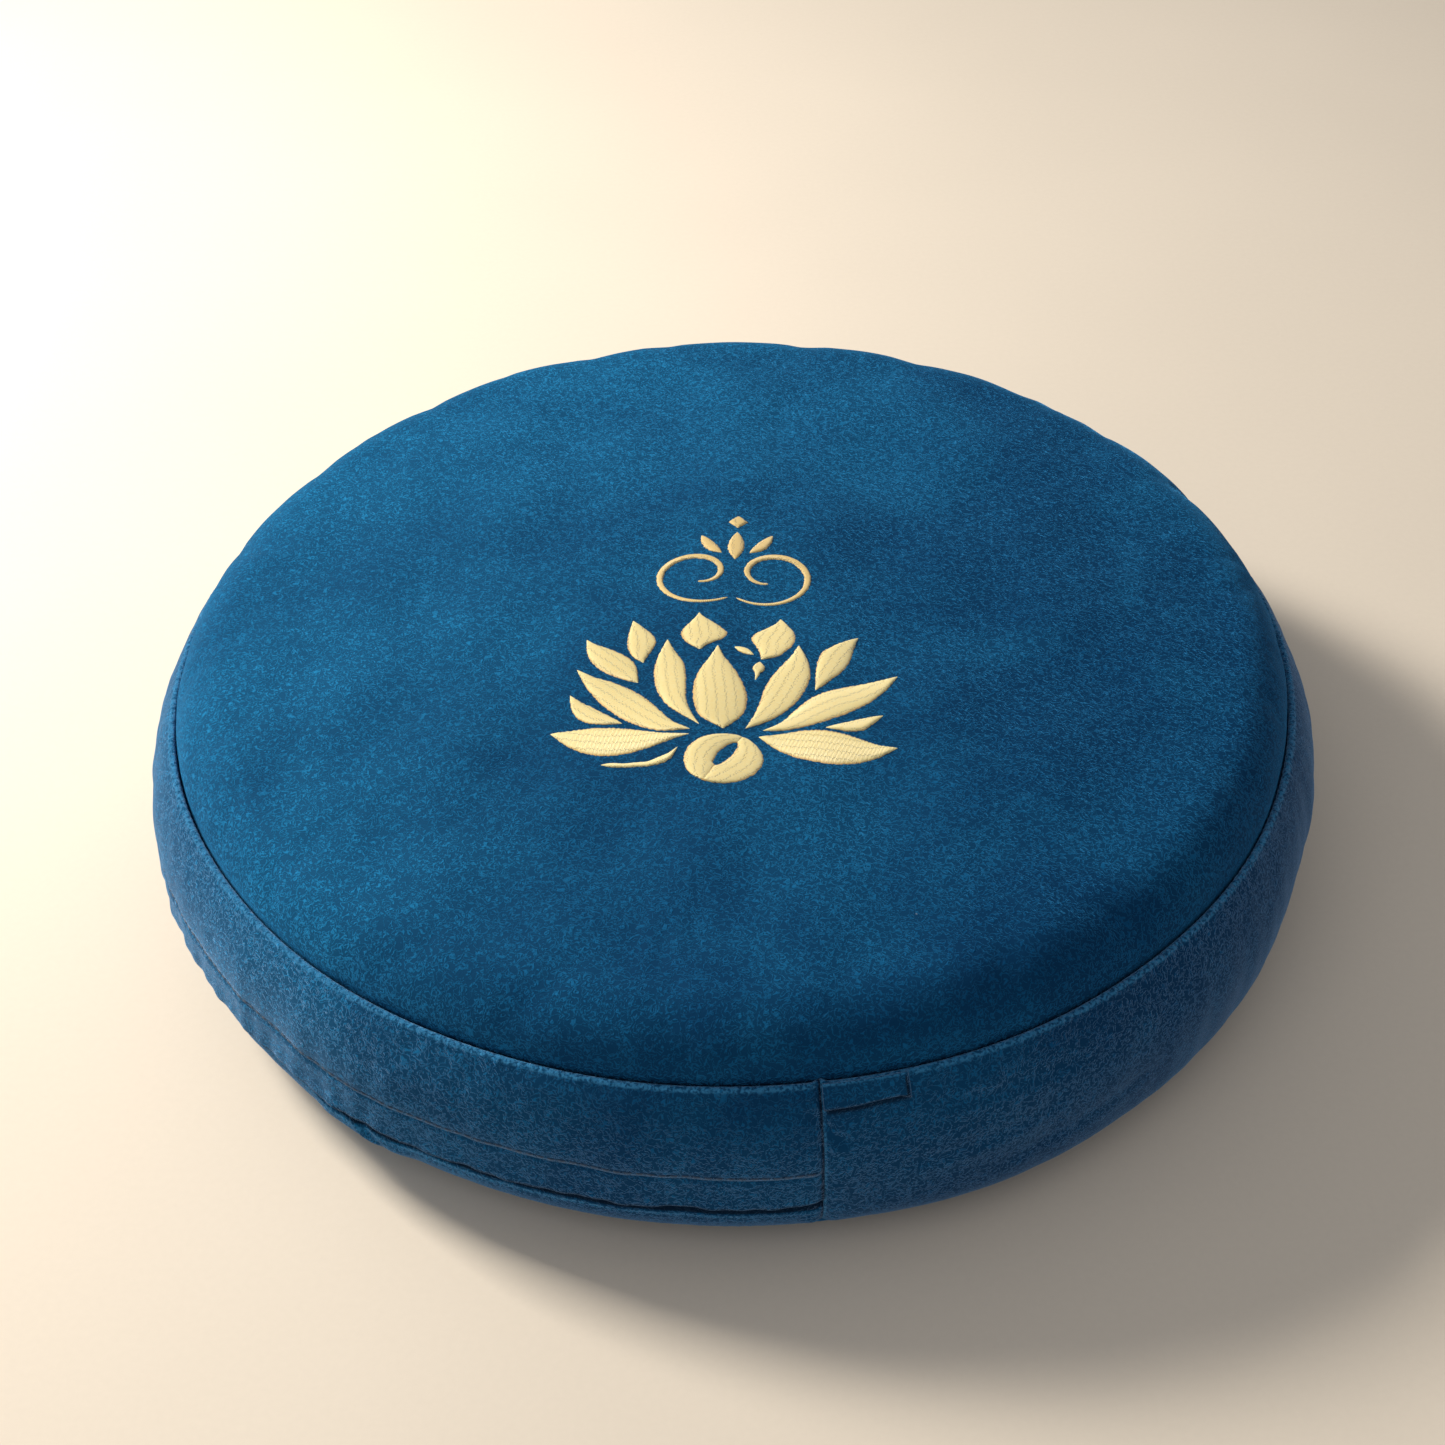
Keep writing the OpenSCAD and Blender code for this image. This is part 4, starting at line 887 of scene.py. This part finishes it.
def buildUpperStrip():
    # the strip between the top seam and the flap's stitched fold
    phi = columnsOf(zipFirst, zipLast)
    arc = np.linspace(flapTopAngle, tilt, 34)
    r, z = sidePoint(side, arc)
    # the topstitch draws the cloth in along its line
    line = (arc - (flapTopAngle + math.radians(1))) * side["radius"]
    r = r - 0.55 * mm * np.exp(-(line / (1.3 * mm)) ** 2)
    topR, topZ = hemProfile(tilt, True)
    foldR, foldZ = sidePoint(side, flapTopAngle + np.array([0.012, 0.003]), np.array([0.9, 0.5]) * mm)
    outR, outZ = np.concatenate([foldR, r, topR]), np.concatenate([foldZ, z, topZ])
    v = np.concatenate([[1 + (tilt - flapTopAngle) / (2 * tilt)] * 2, 1 + (tilt - arc) / (2 * tilt),
                        np.ones(topR.size)])
    liningArc = np.linspace(flapTopAngle + 0.012, tilt - 0.02, outR.size)
    inR, inZ = sidePoint(side, liningArc, cover["cloth"] + 0.1 * mm)
    outer = stripPoints(phi, outR, outZ, v, zipFirst, zipLast, True, False)
    lining = stripPoints(phi, inR, inZ, 1 + (tilt - liningArc) / (2 * tilt), zipFirst, zipLast, False,
                         False)
    paintedLight = paintedLightOf(phi, v, zipFirst, zipLast, 1.0, -1.0, 0.0)
    # painted shade along the line the topstitch draws in, a little uneven along its length
    groove = np.concatenate([[0, 0], np.exp(-(line / (0.6 * mm)) ** 2), np.zeros(topR.size)])
    paintedLight = paintedLight - 0.85 * groove[None, :] * (0.75 + 0.25 * np.sin(phi * 190))[:, None]
    return shell(outer, lining, wrap=False), np.tile(paintedLight.ravel(), 2)


upperPart, upperPaintedLight = buildUpperStrip()
upperStrip = addPiece("zipBandUpper", upperPart, sideVelvet, ["zip_band_upper"], paintedLight=upperPaintedLight)


def slackOf(phi):
    # how far the zipped side gapes: most at the left of the front
    return 0.25 + 0.9 * near(phi, 228, 24) + 0.35 * near(phi, 255, 12)


def buildFlap():
    # the flap is a strip folded in half over the zip, hanging from the topstitch
    phi, full = columnsOf(zipFirst, zipLast), cover["fullRadius"]
    top, low, half = zipSide["topstitch"], zipSide["flapEdge"], 1.35 * mm
    faceZ = np.concatenate([[top + 1.4 * mm, top + 0.7 * mm], np.linspace(top - 0.05 * mm, low + half, 22)])
    faceR = full - 0.3 * mm * smooth((32 * mm - faceZ) / (4 * mm))
    faceR = faceR - 0.6 * mm * np.exp(-((faceZ - top) / (1.1 * mm)) ** 2)
    faceR[:2] = full - 1.5 * mm
    turn = np.linspace(0, math.pi, 11)[1:-1]
    backZ = np.linspace(low + half, top + 1.4 * mm, 24)

    def layer(inset):
        edge = half - inset
        r = np.concatenate([faceR - inset, full - 0.3 * mm - half + edge * np.cos(turn),
                            np.full(24, full - 0.3 * mm - 2 * half + inset)])
        z = np.concatenate([faceZ, low + half - edge * np.sin(turn), backZ])
        grid = spun(phi, r, z)
        drop = np.clip((top - grid[..., 2]) / (12.7 * mm), 0, 1)
        gape = slackOf(phi)[:, None] * 0.5 * mm * drop ** 1.6
        hemWave = 0.25 * mm * np.sin(phi * 61)[:, None] * drop
        hemWave = hemWave + 0.2 * mm * np.sin(phi * 143 + 1)[:, None] * drop
        rolls = jointRolls(phi, zipFirst, zipLast)[0]
        out = gape + hemWave - (1.1 * mm + gape) * rolls[:, None]
        grid[..., 0] += np.cos(phi)[:, None] * out
        grid[..., 1] += np.sin(phi)[:, None] * out
        grid[..., 2] += 0.3 * mm * np.sin(phi * 37)[:, None] * drop
        v = 1 + (tilt - np.arcsin(np.clip((grid[..., 2] - side["z"]) / side["radius"], -1, 1))) / (2 * tilt)
        return softened(grid, v)
    outer = layer(0)
    # painted shadow along the flap's lower edge, deeper where the flap gapes; a faint painted highlight
    # just above that edge; the flap's back, its lining and its joint end painted as shade, its other end as
    # highlight
    above = np.concatenate([faceZ - low, np.zeros(turn.size), backZ - low])
    face = (np.arange(above.size) < faceZ.size + turn.size // 2)[None, :]
    dark = (0.5 + 0.5 * np.clip(slackOf(phi), 0, 1))[:, None]
    paintedLight = -dark * np.exp(-(above / (1.5 * mm)) ** 4)
    paintedLight = paintedLight + 0.2 * np.exp(-((above - 2.9 * mm) / (0.8 * mm)) ** 2)
    paintedLight = np.where(face, paintedLight, -1.0)
    for edge, value in ((zipFirst, 0.9), (zipLast, -1.0)):
        part = np.exp(-(np.abs(phi - math.radians(edge)) * 200 / 1.0) ** 4)[:, None]
        paintedLight = paintedLight * (1 - part) + value * part
    return shell(outer, layer(1.2 * mm), wrap=False), np.concatenate([paintedLight.ravel(), 0 * paintedLight.ravel() - 1])


flapPart, flapPaintedLight = buildFlap()
zipFlap = addPiece("zipFlap", flapPart, sideVelvet, ["zip_flap"], paintedLight=flapPaintedLight)
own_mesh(zipFlap)


def buildLowerStrip():
    # the strip under the zip: on the band's curve, then straight up to a folded edge
    phi = columnsOf(zipFirst, zipLast)
    arc = np.linspace(-tilt, turnAngle, 26)
    r, z = sidePoint(side, arc)
    rise = np.linspace(0, 1, 9)[1:]
    topZ = zipSide["stripTop"]
    wallZ = zipSide["stripTurn"] + (topZ - 1.2 * mm - zipSide["stripTurn"]) * rise
    wallR = np.full(8, zipSide["stripR"])
    turn = np.linspace(0, math.pi, 8)[1:]
    foldR = zipSide["stripR"] - 1.2 * mm + 1.2 * mm * np.cos(turn)
    foldZ = topZ - 1.2 * mm + 1.2 * mm * np.sin(turn)
    lowR, lowZ = hemProfile(tilt, False)
    outR = np.concatenate([lowR[::-1], r, wallR, foldR])
    outZ = np.concatenate([lowZ[::-1], z, wallZ, foldZ])
    n = outR.size
    inZ = np.concatenate([np.linspace(cover["lowSeam"] + 0.4 * mm, zipSide["stripTurn"], 30),
                          np.linspace(zipSide["stripTurn"], topZ - 1.3 * mm, n - 30 + 1)[1:]])
    inA = np.arcsin(np.clip((inZ - side["z"]) / side["radius"], -1, 1))
    inR = np.minimum(sidePoint(side, inA, cover["cloth"] + 0.2 * mm)[0], zipSide["stripR"] - 2.3 * mm)

    def vOf(zz):
        return 1 + ((tilt - np.arcsin(np.clip((zz - side["z"]) / side["radius"], -math.sin(tilt), 1)))
                    / (2 * tilt))
    v = vOf(outZ)
    v[:lowR.size] = 2.0
    # stitch line that holds the tape, drawn in a little
    outR = outR - 0.4 * mm * np.exp(-((outZ - zipSide["stripTurn"] - 2.2 * mm) / (0.9 * mm)) ** 2)
    outer = stripPoints(phi, outR, outZ, v, zipFirst, zipLast, False, True)
    lining = stripPoints(phi, inR, inZ, vOf(inZ), zipFirst, zipLast, False, False)
    # the slack strip sinks back where the flap gapes
    back = -0.9 * mm * slackOf(phi)[:, None]
    for g, zz in ((outer, outZ), (lining, inZ)):
        amount = back * smooth((zz - 20 * mm) / (8 * mm))[None, :]
        g[..., 0] += np.cos(phi)[:, None] * amount
        g[..., 1] += np.sin(phi)[:, None] * amount
    paintedLight = paintedLightOf(phi, v, zipFirst, zipLast, 1.0, -1.0)
    # painted shade over the strip where the flap covers it, and a painted highlight along the strip's top
    # just below the flap, stronger where the flap gapes
    under = smooth((outZ - 23.9 * mm) / (0.6 * mm))
    stripTopHighlight = (np.exp(-((outZ - 23.2 * mm) / (0.8 * mm)) ** 2)
              * (0.45 + 0.5 * np.clip(slackOf(phi), 0, 1))[:, None])
    paintedLight = paintedLight * (1 - under) - under + stripTopHighlight * (1 - under)
    return shell(outer, lining, wrap=False), np.tile(paintedLight.ravel(), 2)


lowerPart, lowerPaintedLight = buildLowerStrip()
lowerStrip = addPiece("zipBandLower", lowerPart, sideVelvet, ["zip_band_lower"], paintedLight=lowerPaintedLight)
print("zipped side made")

# stitches that show
stitches = dict(length=2.5 * mm, pitch=3.3 * mm, thick=0.34 * mm)


def stitchRow(name, phi0, phi1, angle, inset, material, standsFor):
    # a row of short stitches: each a capsule that dives into the cloth at both ends
    s = stitches
    count = int(math.radians(phi1 - phi0) * 200 * mm / s["pitch"])
    starts = np.radians(phi0) + (np.arange(count) + 0.5) / count * math.radians(phi1 - phi0)
    t = np.linspace(-1, 1, 9)
    ring = np.linspace(0, 2 * math.pi, 8, endpoint=False)
    radius = s["thick"] * np.sqrt(np.clip(1 - t ** 4, 0, 1)) + 1e-5
    phi = starts[:, None, None] + (t[None, :, None] * s["length"] / 2) / (200 * mm) + 0 * ring
    sink = inset - 0.28 * mm * (1 - t[None, :, None] ** 2) + radius[None, :, None] * -np.cos(ring)
    r, z = sidePoint(side, angle + radius[None, :, None] * np.sin(ring) / side["radius"], sink)
    r, z = np.broadcast_arrays(r, z)
    points = np.stack([r * np.cos(phi), r * np.sin(phi), z + 0 * phi], -1)
    v = np.full(points.shape[:3], 1 + (tilt - angle) / (2 * tilt))
    points = softened(points, v).reshape(-1, 3)
    n, m = 9, 8
    k, i, j = np.meshgrid(np.arange(count), np.arange(n - 1), np.arange(m), indexing="ij")
    jn = (j + 1) % m
    at = k * n * m
    faces = np.stack([at + i * m + j, at + (i + 1) * m + j, at + (i + 1) * m + jn, at + i * m + jn],
                     -1).reshape(-1, 4)
    ends = np.arange(count)[:, None] * n * m + np.arange(m)[None, :]
    caps = [*ends[:, ::-1].tolist(), *(ends + (n - 1) * m).tolist()]
    mesh = bpy.data.meshes.new(name)
    mesh.from_pydata(points.tolist(), [], faces.tolist() + caps)
    mesh.polygons.foreach_set("use_smooth", np.ones(len(mesh.polygons), bool))
    mesh.materials.append(material)
    obj = bpy.data.objects.new(name, mesh)
    bpy.context.scene.collection.objects.link(obj)
    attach(obj, body)
    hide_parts(standsFor)
    return obj


stitchRow("flapTopstitch", zipFirst + 0.6, zipLast - 0.6, flapTopAngle + math.radians(1), 0.75 * mm,
          darkThread, "flap_topstitch")
print("stitches made")

# embroidery
sewn = dict(heart=(-4 * mm, -65 * mm), turn=-4.0, lift=0.7 * mm, sunk=-0.35 * mm, serration=0.26, seed=5)
sewnRng = np.random.default_rng(sewn["seed"])


def onCrown(xy, lift):
    # puts motif points, in millimetres from the heart, on the crown and raises them off it
    a = math.radians(sewn["turn"])
    x = (xy[..., 0] * math.cos(a) - xy[..., 1] * math.sin(a)) * mm + sewn["heart"][0]
    y = (xy[..., 0] * math.sin(a) + xy[..., 1] * math.cos(a)) * mm + sewn["heart"][1]
    r = np.hypot(x, y)
    s = domeLength(dome, r)
    z, slope = domePoint(dome, s)[1:]
    phi = np.arctan2(y, x)
    r = r + lift * np.sin(slope)
    points = np.stack([r * np.cos(phi), r * np.sin(phi), z + lift * np.cos(slope)], -1)
    return softened(points, np.minimum(s / dome["length"], 0.999))


def fillGrid(centre, half, sideways, lengthMm, rim=None):
    # a filled shape: rows across its middle line, domed over, with ragged stitch ends
    rows = centre.shape[0]
    across = np.sin(np.linspace(-1, 1, 21) * math.pi / 2)[None, :]
    along = np.linspace(0, lengthMm, rows)[:, None]
    ragged = sewnRng.uniform(-1, 1, (rows, 2)) * sewn["serration"]
    reach = half[:, None] * np.ones_like(across)
    rag = (np.where(across > 0, ragged[:, :1], ragged[:, 1:]) * np.abs(across) ** 5
           * np.minimum(1, half[:, None] / 1.2))
    offset = across * reach + np.sign(across) * rag
    xy = centre[:, None, :] + sideways[:, None, :] * offset[..., None]
    body2 = np.clip(1 - np.abs(across) ** 3.2, 0, 1) ** 0.6 * np.minimum(1, (half[:, None] / 1.6)) ** 0.5
    outer = onCrown(xy, sewn["sunk"] + (sewn["lift"] - sewn["sunk"]) * body2)
    lining = onCrown(xy, np.full(xy.shape[:2], sewn["sunk"] - 0.05 * mm))
    uv = np.stack([offset, np.broadcast_to(along, offset.shape)], -1)
    edge = np.maximum(np.abs(across) * np.ones_like(offset), 1 - np.minimum(along, lengthMm - along) / 1.6)
    return shell(outer, lining, wrap=False, uv=uv), np.concatenate([edge.ravel(), edge.ravel()])


def edgeAt(steps, t):
    # the edge's distance from the petal's line, given at each seventh and run smoothly between
    e = np.array([-steps[0], 0, *steps, 0, -steps[-1]], float)
    i = np.minimum((t * 7).astype(int), 6)
    f = t * 7 - i
    a, b, c, d = e[i], e[i + 1], e[i + 2], e[i + 3]
    return b + 0.5 * f * ((c - a) + f * ((2 * a - 5 * b + 4 * c - d) + f * (3 * b - a - 3 * c + d)))


def petal(root, tip, left, right, flip=1):
    b, p = np.array(root, float), np.array(tip, float)
    size = np.linalg.norm(p - b)
    u = (p - b) / size
    v = np.array([-u[1], u[0]]) * [flip, 1]
    t = np.linspace(0, 1, int(size / 0.40) + 8)
    on, off = edgeAt(left, t), edgeAt(right, t)
    centre = (b + (p - b) * t[:, None]) * [flip, 1] + v * ((on + off) / 2)[:, None]
    return fillGrid(centre, np.maximum((on - off) / 2, 0.03), np.tile(v, (t.size, 1)), size)


def bothSides(*shape):
    return [petal(*shape), petal(*shape, flip=-1)]


def scroll(flip):
    # a stroke that winds in on itself, fullest halfway
    t = np.linspace(0, 1, 190)
    a, r = np.radians(-130 + 400 * t), 17 - 12.5 * t
    centre = np.array([12, 78]) + np.stack([r * np.cos(a), r * np.sin(a)], -1)
    step = np.gradient(centre, axis=0)
    size = np.linalg.norm(step, axis=1)
    sideways = np.stack([-step[:, 1], step[:, 0]], -1) / size[:, None]
    half = (0.45 + 0.9 * np.sin(math.pi * t)) * np.minimum(1, np.minimum(t, 1 - t) / 0.02 + 0.2)
    return fillGrid(centre * [flip, 1], half, sideways * [flip, 1], float(size.sum()))


def bud():
    # a round bud in two halves that part along a curved slit
    axis = np.array([0.44, 0.898])
    out = np.array([-axis[1], axis[0]])
    t = np.linspace(-1, 1, 66)[:, None]
    grow = np.sqrt(np.clip(1 - t ** 2, 0, 1)) * 12.9
    bow = 0.8 * (1 - t ** 2)
    open_ = 1.25 * np.sin(math.pi * np.clip((t + 0.35) / 1.1, 0, 1)) ** 0.8
    squeeze = np.array([1, 0.86])
    parts = []
    for s in (-1, 1):
        a = bow + s * (open_ * 1.25 - 0.9 * np.clip(1 - open_ * 3, 0, 1))
        b = s * grow
        mid, halfWidth = (a + b) / 2, np.abs(b - a) / 2
        centre = (np.array([1.4, -13.7]) + (axis * t * 12.8 + out * mid) * squeeze)
        parts.append(fillGrid(centre, np.maximum(halfWidth[:, 0], 0.03) * 0.95,
                              np.tile(out * squeeze, (66, 1)), 24.8))
    return parts


def addSewn(name, parts, node, material=None):
    shells = [p for p, _ in parts]
    points, faces, uv = joined(shells)
    edge = np.concatenate([e for _, e in parts])
    mesh = bpy.data.meshes.new(name)
    mesh.from_pydata(points.tolist(), [], faces.tolist())
    mesh.uv_layers.new(name="uv").data.foreach_set("uv", uv[faces.ravel()].astype(np.float32).ravel())
    mesh.attributes.new("edge", "FLOAT", "POINT").data.foreach_set("value", edge.astype(np.float32))
    bm = bmesh.new()
    bm.from_mesh(mesh)
    bmesh.ops.recalc_face_normals(bm, faces=bm.faces)
    bm.to_mesh(mesh)
    bm.free()
    mesh.polygons.foreach_set("use_smooth", np.ones(len(mesh.polygons), bool))
    mesh.materials.append(material or gold)
    obj = bpy.data.objects.new(name, mesh)
    bpy.context.scene.collection.objects.link(obj)
    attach(obj, body)
    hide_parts(node)
    return obj


addSewn("lotusCentrePetal", [
    petal((0.6, -0.6), (-3.3, 40.4), (7.4, 9.2, 9.4, 8.6, 6.4, 2.9),
          (-6.3, -8.4, -8.5, -7, -4.7, -1.9))
], "lotus_centre_petal")
addSewn("lotusInnerPetals", [
    petal((-6.6, 0.3), (-20, 43.1), (4.6, 8, 9.4, 9.2, 7.7, 4.4),
          (1.2, 1.2, -0.2, -1.8, -2.4, -1)),
    petal((7.3, 0.2), (23.2, 40.8), (0, 0.8, 2, 2.4, 1.7, 0.4),
          (-5, -8.4, -10.2, -10.6, -9.5, -6))
], "lotus_inner_petals")
addSewn("lotusLongPetals", [
    petal((-9.4, -1.5), (-48.6, 27), (6, 8.3, 9, 8.5, 6.9, 4),
          (0.5, -1.4, -3.3, -3.9, -2.8, -0.6)),
    petal((12.5, -0.1), (55.7, 28), (0.4, 3.2, 5.4, 5, 3.3, 1.5),
          (-3.9, -5.9, -6.9, -7.1, -6.4, -4.1))
], "lotus_long_petals")
addSewn("lotusLowerPetals", [
    petal((-9.3, -3.5), (-54.2, -2.6), (3, 6.4, 9.1, 10.3, 9.5, 6),
          (-0.1, -1.1, -2.5, -3.1, -2.7, -1.4)),
    petal((11.6, -2.8), (55.7, -5.3), (2, 4.3, 5.5, 4.9, 3, 0.8),
          (-5.4, -8.7, -10, -10.1, -8.5, -5.1))
], "lotus_lower_petals")
addSewn("lotusSideSlips", [
    petal((-31.2, 1.7), (-49.5, 14.9), (2.9, 5.2, 6.7, 7, 5.9, 3.4),
          (-0.2, -0.2, -0.2, -0.1, 0.2, 0.3)),
    petal((32.3, 2.4), (51.2, 8.9), (0.2, 0.4, 0.6, 0.7, 0.6, 0.4),
          (-1.8, -3.4, -4.4, -4.7, -3.4, -1.8))
], "lotus_side_slips")
addSewn("lotusBackPetals", [
    petal((-27, 30.8), (-32.2, 52.5), (2.8, 3.8, 4.1, 3.5, 2.4, 1.2),
          (-2, -4.4, -6, -5.7, -4, -2)),
    petal((-27.9, 21.1), (-46.7, 42.3), (2.7, 4.8, 6.1, 6.2, 5.3, 3),
          (-2.9, -5, -5.1, -4, -2.4, -0.6)),
    petal((-9, 37.6), (-10.4, 56.6), (3.4, 5.6, 6.6, 5.6, 3.6, 1.4),
          (-3, -8, -9.4, -7.6, -4.9, -1.6)),
    petal((11.1, 33.2), (16.7, 54.8), (1.5, 4.1, 6.5, 5.8, 3.5, 1),
          (-5, -6.9, -8.2, -8.1, -6.9, -3.7)),
    petal((29, 19.1), (42.7, 46.5), (2.4, 4.5, 6.1, 6.7, 5.2, 2.8),
          (-1.4, -2.6, -3.6, -3.5, -2.3, -1)),
    petal((2, 39.6), (8.8, 35.6), (0.7, 1.2, 1.5, 1.5, 1.2, 0.7),
          (-0.7, -1.1, -1.3, -1.2, -1, -0.6)),
    petal((9.6, 22.6), (10.8, 32.4), (0.3, 0.5, 0.9, 1.7, 1.8, 1.1),
          (-0.4, -0.8, -1.2, -2, -2.2, -1.3))
], "lotus_back_petals")
addSewn("lotusBaseBud", bud(), "lotus_base_bud")
addSewn("lotusUnderPetal", [
    petal((-12.9, -8.8), (-37.2, -16.9), (4.5, 5.6, 5.4, 4.5, 3.5, 2.4),
          (1.9, 2.7, 3.2, 2.4, 1.6, 0.3))
], "lotus_under_petal")
addSewn("ornamentScrolls", [scroll(1), scroll(-1)], "ornament_scrolls", goldLine)
addSewn("ornamentLeaves", [petal((0, 86), (0, 103), (1.5, 2.5, 3, 2.9, 2.3, 1.3),
                                 (-1.5, -2.5, -3, -2.9, -2.3, -1.3))]
        + bothSides((4.6, 90), (12.5, 101), (0.7, 1.1, 1.3, 1.3, 1.1, 0.7),
                    (-1.6, -2.7, -3.1, -2.9, -2.4, -1.4)),
        "ornament_leaves", goldLine)


def buildBacking():
    # the stiff sheet behind the stitches, 128 by 154, following the crown from below
    x, y = np.meshgrid(np.linspace(-64, 64, 64), np.linspace(-34, 120, 76), indexing="ij")
    xy = np.stack([x, y], -1)
    return shell(onCrown(xy, -1.3 * mm), onCrown(xy, -1.65 * mm), wrap=False)


addPiece("embroideryBacking", buildBacking(), backing, ["embroidery_backing"])


def lozenge():
    t = np.linspace(0, 1, 26)
    centre = np.stack([0 * t, 105 + 7.2 * t], -1)
    half = 3.6 * (1 - np.abs(2 * t - 1))
    return fillGrid(centre, np.maximum(half, 0.03), np.tile([-1.0, 0.0], (26, 1)), 7.2)


addSewn("ornamentLozenge", [lozenge()], "ornament_lozenge", goldLine)
print("embroidery made")

# the inner cushion
innerSide = sideShape(inner["seamRadius"], cover["lowSeam"] + inner["drop"],
                      cover["topSeam"] - inner["drop"], inner["fullRadius"])


def innerLayer(points, v):
    # the inner cushion shares the cover's slow shape, not its fine puckers
    soft = softened(points, v)
    return points + (soft - points) * 0.6


def buildInner():
    case, thick = innerSide, inner["cloth"]
    caseHem = 2 * thick
    top = domeShape(*sidePoint(case, case["tilt"], caseHem))
    low = baseShape(*sidePoint(case, -case["tilt"], caseHem), inner["floor"])
    phi = np.linspace(0, 2 * math.pi, 240, endpoint=False)
    made = {}
    s = np.linspace(0, top["length"], 60)
    v = np.broadcast_to(np.minimum(s / top["length"], 0.97), (240, 60))
    made["top"] = shell(innerLayer(spun(phi, *domePoint(top, s)[:2]), v),
                        innerLayer(spun(phi, *domePoint(top, s, thick)[:2]), v))
    s2 = np.linspace(0, low["length"], 50)
    v2 = np.broadcast_to(np.maximum(3 - s2 / low["length"], 2.03), (240, 50))
    made["low"] = shell(innerLayer(spun(phi, *basePoint(low, s2)[:2]), v2),
                        innerLayer(spun(phi, *basePoint(low, s2, thick)[:2]), v2))
    arc = np.linspace(-case["tilt"], case["tilt"], 30)
    v3 = np.broadcast_to(1 + (case["tilt"] - arc) / (2 * case["tilt"]), (240, 30))
    made["band"] = shell(innerLayer(spun(phi, *sidePoint(case, arc)), v3),
                         innerLayer(spun(phi, *sidePoint(case, arc, thick)), v3))
    inset = thick + 0.3 * mm
    ts, ls = s[:-1], s2[:-1][::-1]
    arcs = np.linspace(case["tilt"] - 0.02, -case["tilt"] + 0.02, 20)
    r = np.concatenate([domePoint(top, ts, inset)[0], sidePoint(case, arcs, caseHem + inset)[0],
                        basePoint(low, ls, inset)[0]])
    z = np.concatenate([domePoint(top, ts, inset)[1], sidePoint(case, arcs, caseHem + inset)[1],
                        basePoint(low, ls, inset)[1]])
    vv = np.concatenate([np.minimum(ts / top["length"], 0.97), 1 + np.linspace(0, 1, 20),
                         np.maximum(3 - ls / low["length"], 2.03)])
    grid = innerLayer(spun(phi, r, z), np.broadcast_to(vv, (240, vv.size)))
    made["fill"] = (grid.reshape(-1, 3), gridFaces(240, vv.size, True), None)
    return made


cushionParts = buildInner()
caseTop = addPiece("innerCaseTop", cushionParts["top"], cotton, ["inner_case_top"])
caseLow = addPiece("innerCaseBottom", cushionParts["low"], cotton, ["inner_case_bottom"])
caseBand = addPiece("innerCaseBand", cushionParts["band"], cotton, ["inner_case_band"])
fill = addPiece("hullFill", cushionParts["fill"], hulls, ["hull_fill"])
print("inner cushion made")

# floor, light, camera
stage = dict(floor=(0.76, 0.70, 0.62), key=25.0, keyColour=(1.0, 0.91, 0.78), fill=6.0, sky=0.33,
             skyColour=(1.0, 0.97, 0.94))


def buildStage():
    mesh = bpy.data.meshes.new("floor")
    mesh.from_pydata([(-4, -3, 0), (4, -3, 0), (4, 6, 0), (-4, 6, 0)], [], [(0, 1, 2, 3)])
    m, tree, shader = newMaterial("paleFloor", stage["floor"], 0.9)
    at = put(tree, "TexCoord").outputs["Object"]
    weave = put(tree, "TexNoise", Vector=at, Scale=420.0, Detail=2.0).outputs["Fac"]
    soft = put(tree, "TexNoise", Vector=at, Scale=5.0, Detail=2.0).outputs["Fac"]
    tone = maths(tree, "MULTIPLY_ADD", weave, 0.35, maths(tree, "MULTIPLY", soft, 0.65))
    tree.links.new(blendColour(tree, tone, tuple(c * 0.93 for c in stage["floor"]),
                               tuple(min(1, c * 1.06) for c in stage["floor"])),
                   shader.inputs["Base Color"])
    mesh.materials.append(m)
    floor = bpy.data.objects.new("floor", mesh)
    bpy.context.scene.collection.objects.link(floor)
    world = bpy.data.worlds.new("studio")
    world.use_nodes = True
    sky = world.node_tree.nodes["Background"]
    sky.inputs[0].default_value = (*stage["skyColour"], 1)
    sky.inputs[1].default_value = stage["sky"]
    bpy.context.scene.world = world
    for name, power, size, place, colour in (
            ("key", stage["key"], 0.32, (-0.95, 0.48, 0.86), stage["keyColour"]),
            ("fill", stage["fill"], 1.8, (-0.6, -1.5, 1.6), (1.0, 0.97, 0.94))):
        lamp = bpy.data.lights.new(name, "AREA")
        lamp.energy, lamp.size, lamp.color = power, size, colour
        obj = bpy.data.objects.new(name, lamp)
        obj.location = place
        obj.rotation_euler = (Vector((0, 0, 0.05)) - Vector(place)).to_track_quat("-Z", "Y").to_euler()
        bpy.context.scene.collection.objects.link(obj)


viewpoint = dict(place=(-0.0036, -0.637, 0.589), pitch=40.65, roll=1.38, lens=59.8)


def buildCamera():
    # looks along +Y and down, with a slight roll
    data = bpy.data.cameras.new("camera")
    data.sensor_width, data.lens = 36, viewpoint["lens"]
    data.clip_start = 0.01
    camera = bpy.data.objects.new("camera", data)
    p, roll = math.radians(viewpoint["pitch"]), math.radians(viewpoint["roll"])
    ahead = Vector((0, math.cos(p), -math.sin(p)))
    right = Vector((1, 0, 0))
    up = right.cross(ahead)
    r2 = right * math.cos(roll) - up * math.sin(roll)
    u2 = right * math.sin(roll) + up * math.cos(roll)
    turned = Matrix((r2, u2, -ahead)).transposed().to_4x4()
    camera.matrix_world = Matrix.Translation(viewpoint["place"]) @ turned
    bpy.context.scene.collection.objects.link(camera)
    bpy.context.scene.camera = camera


buildStage()
buildCamera()
view = bpy.context.scene.view_settings
view.view_transform = "Standard"
print("stage ready")
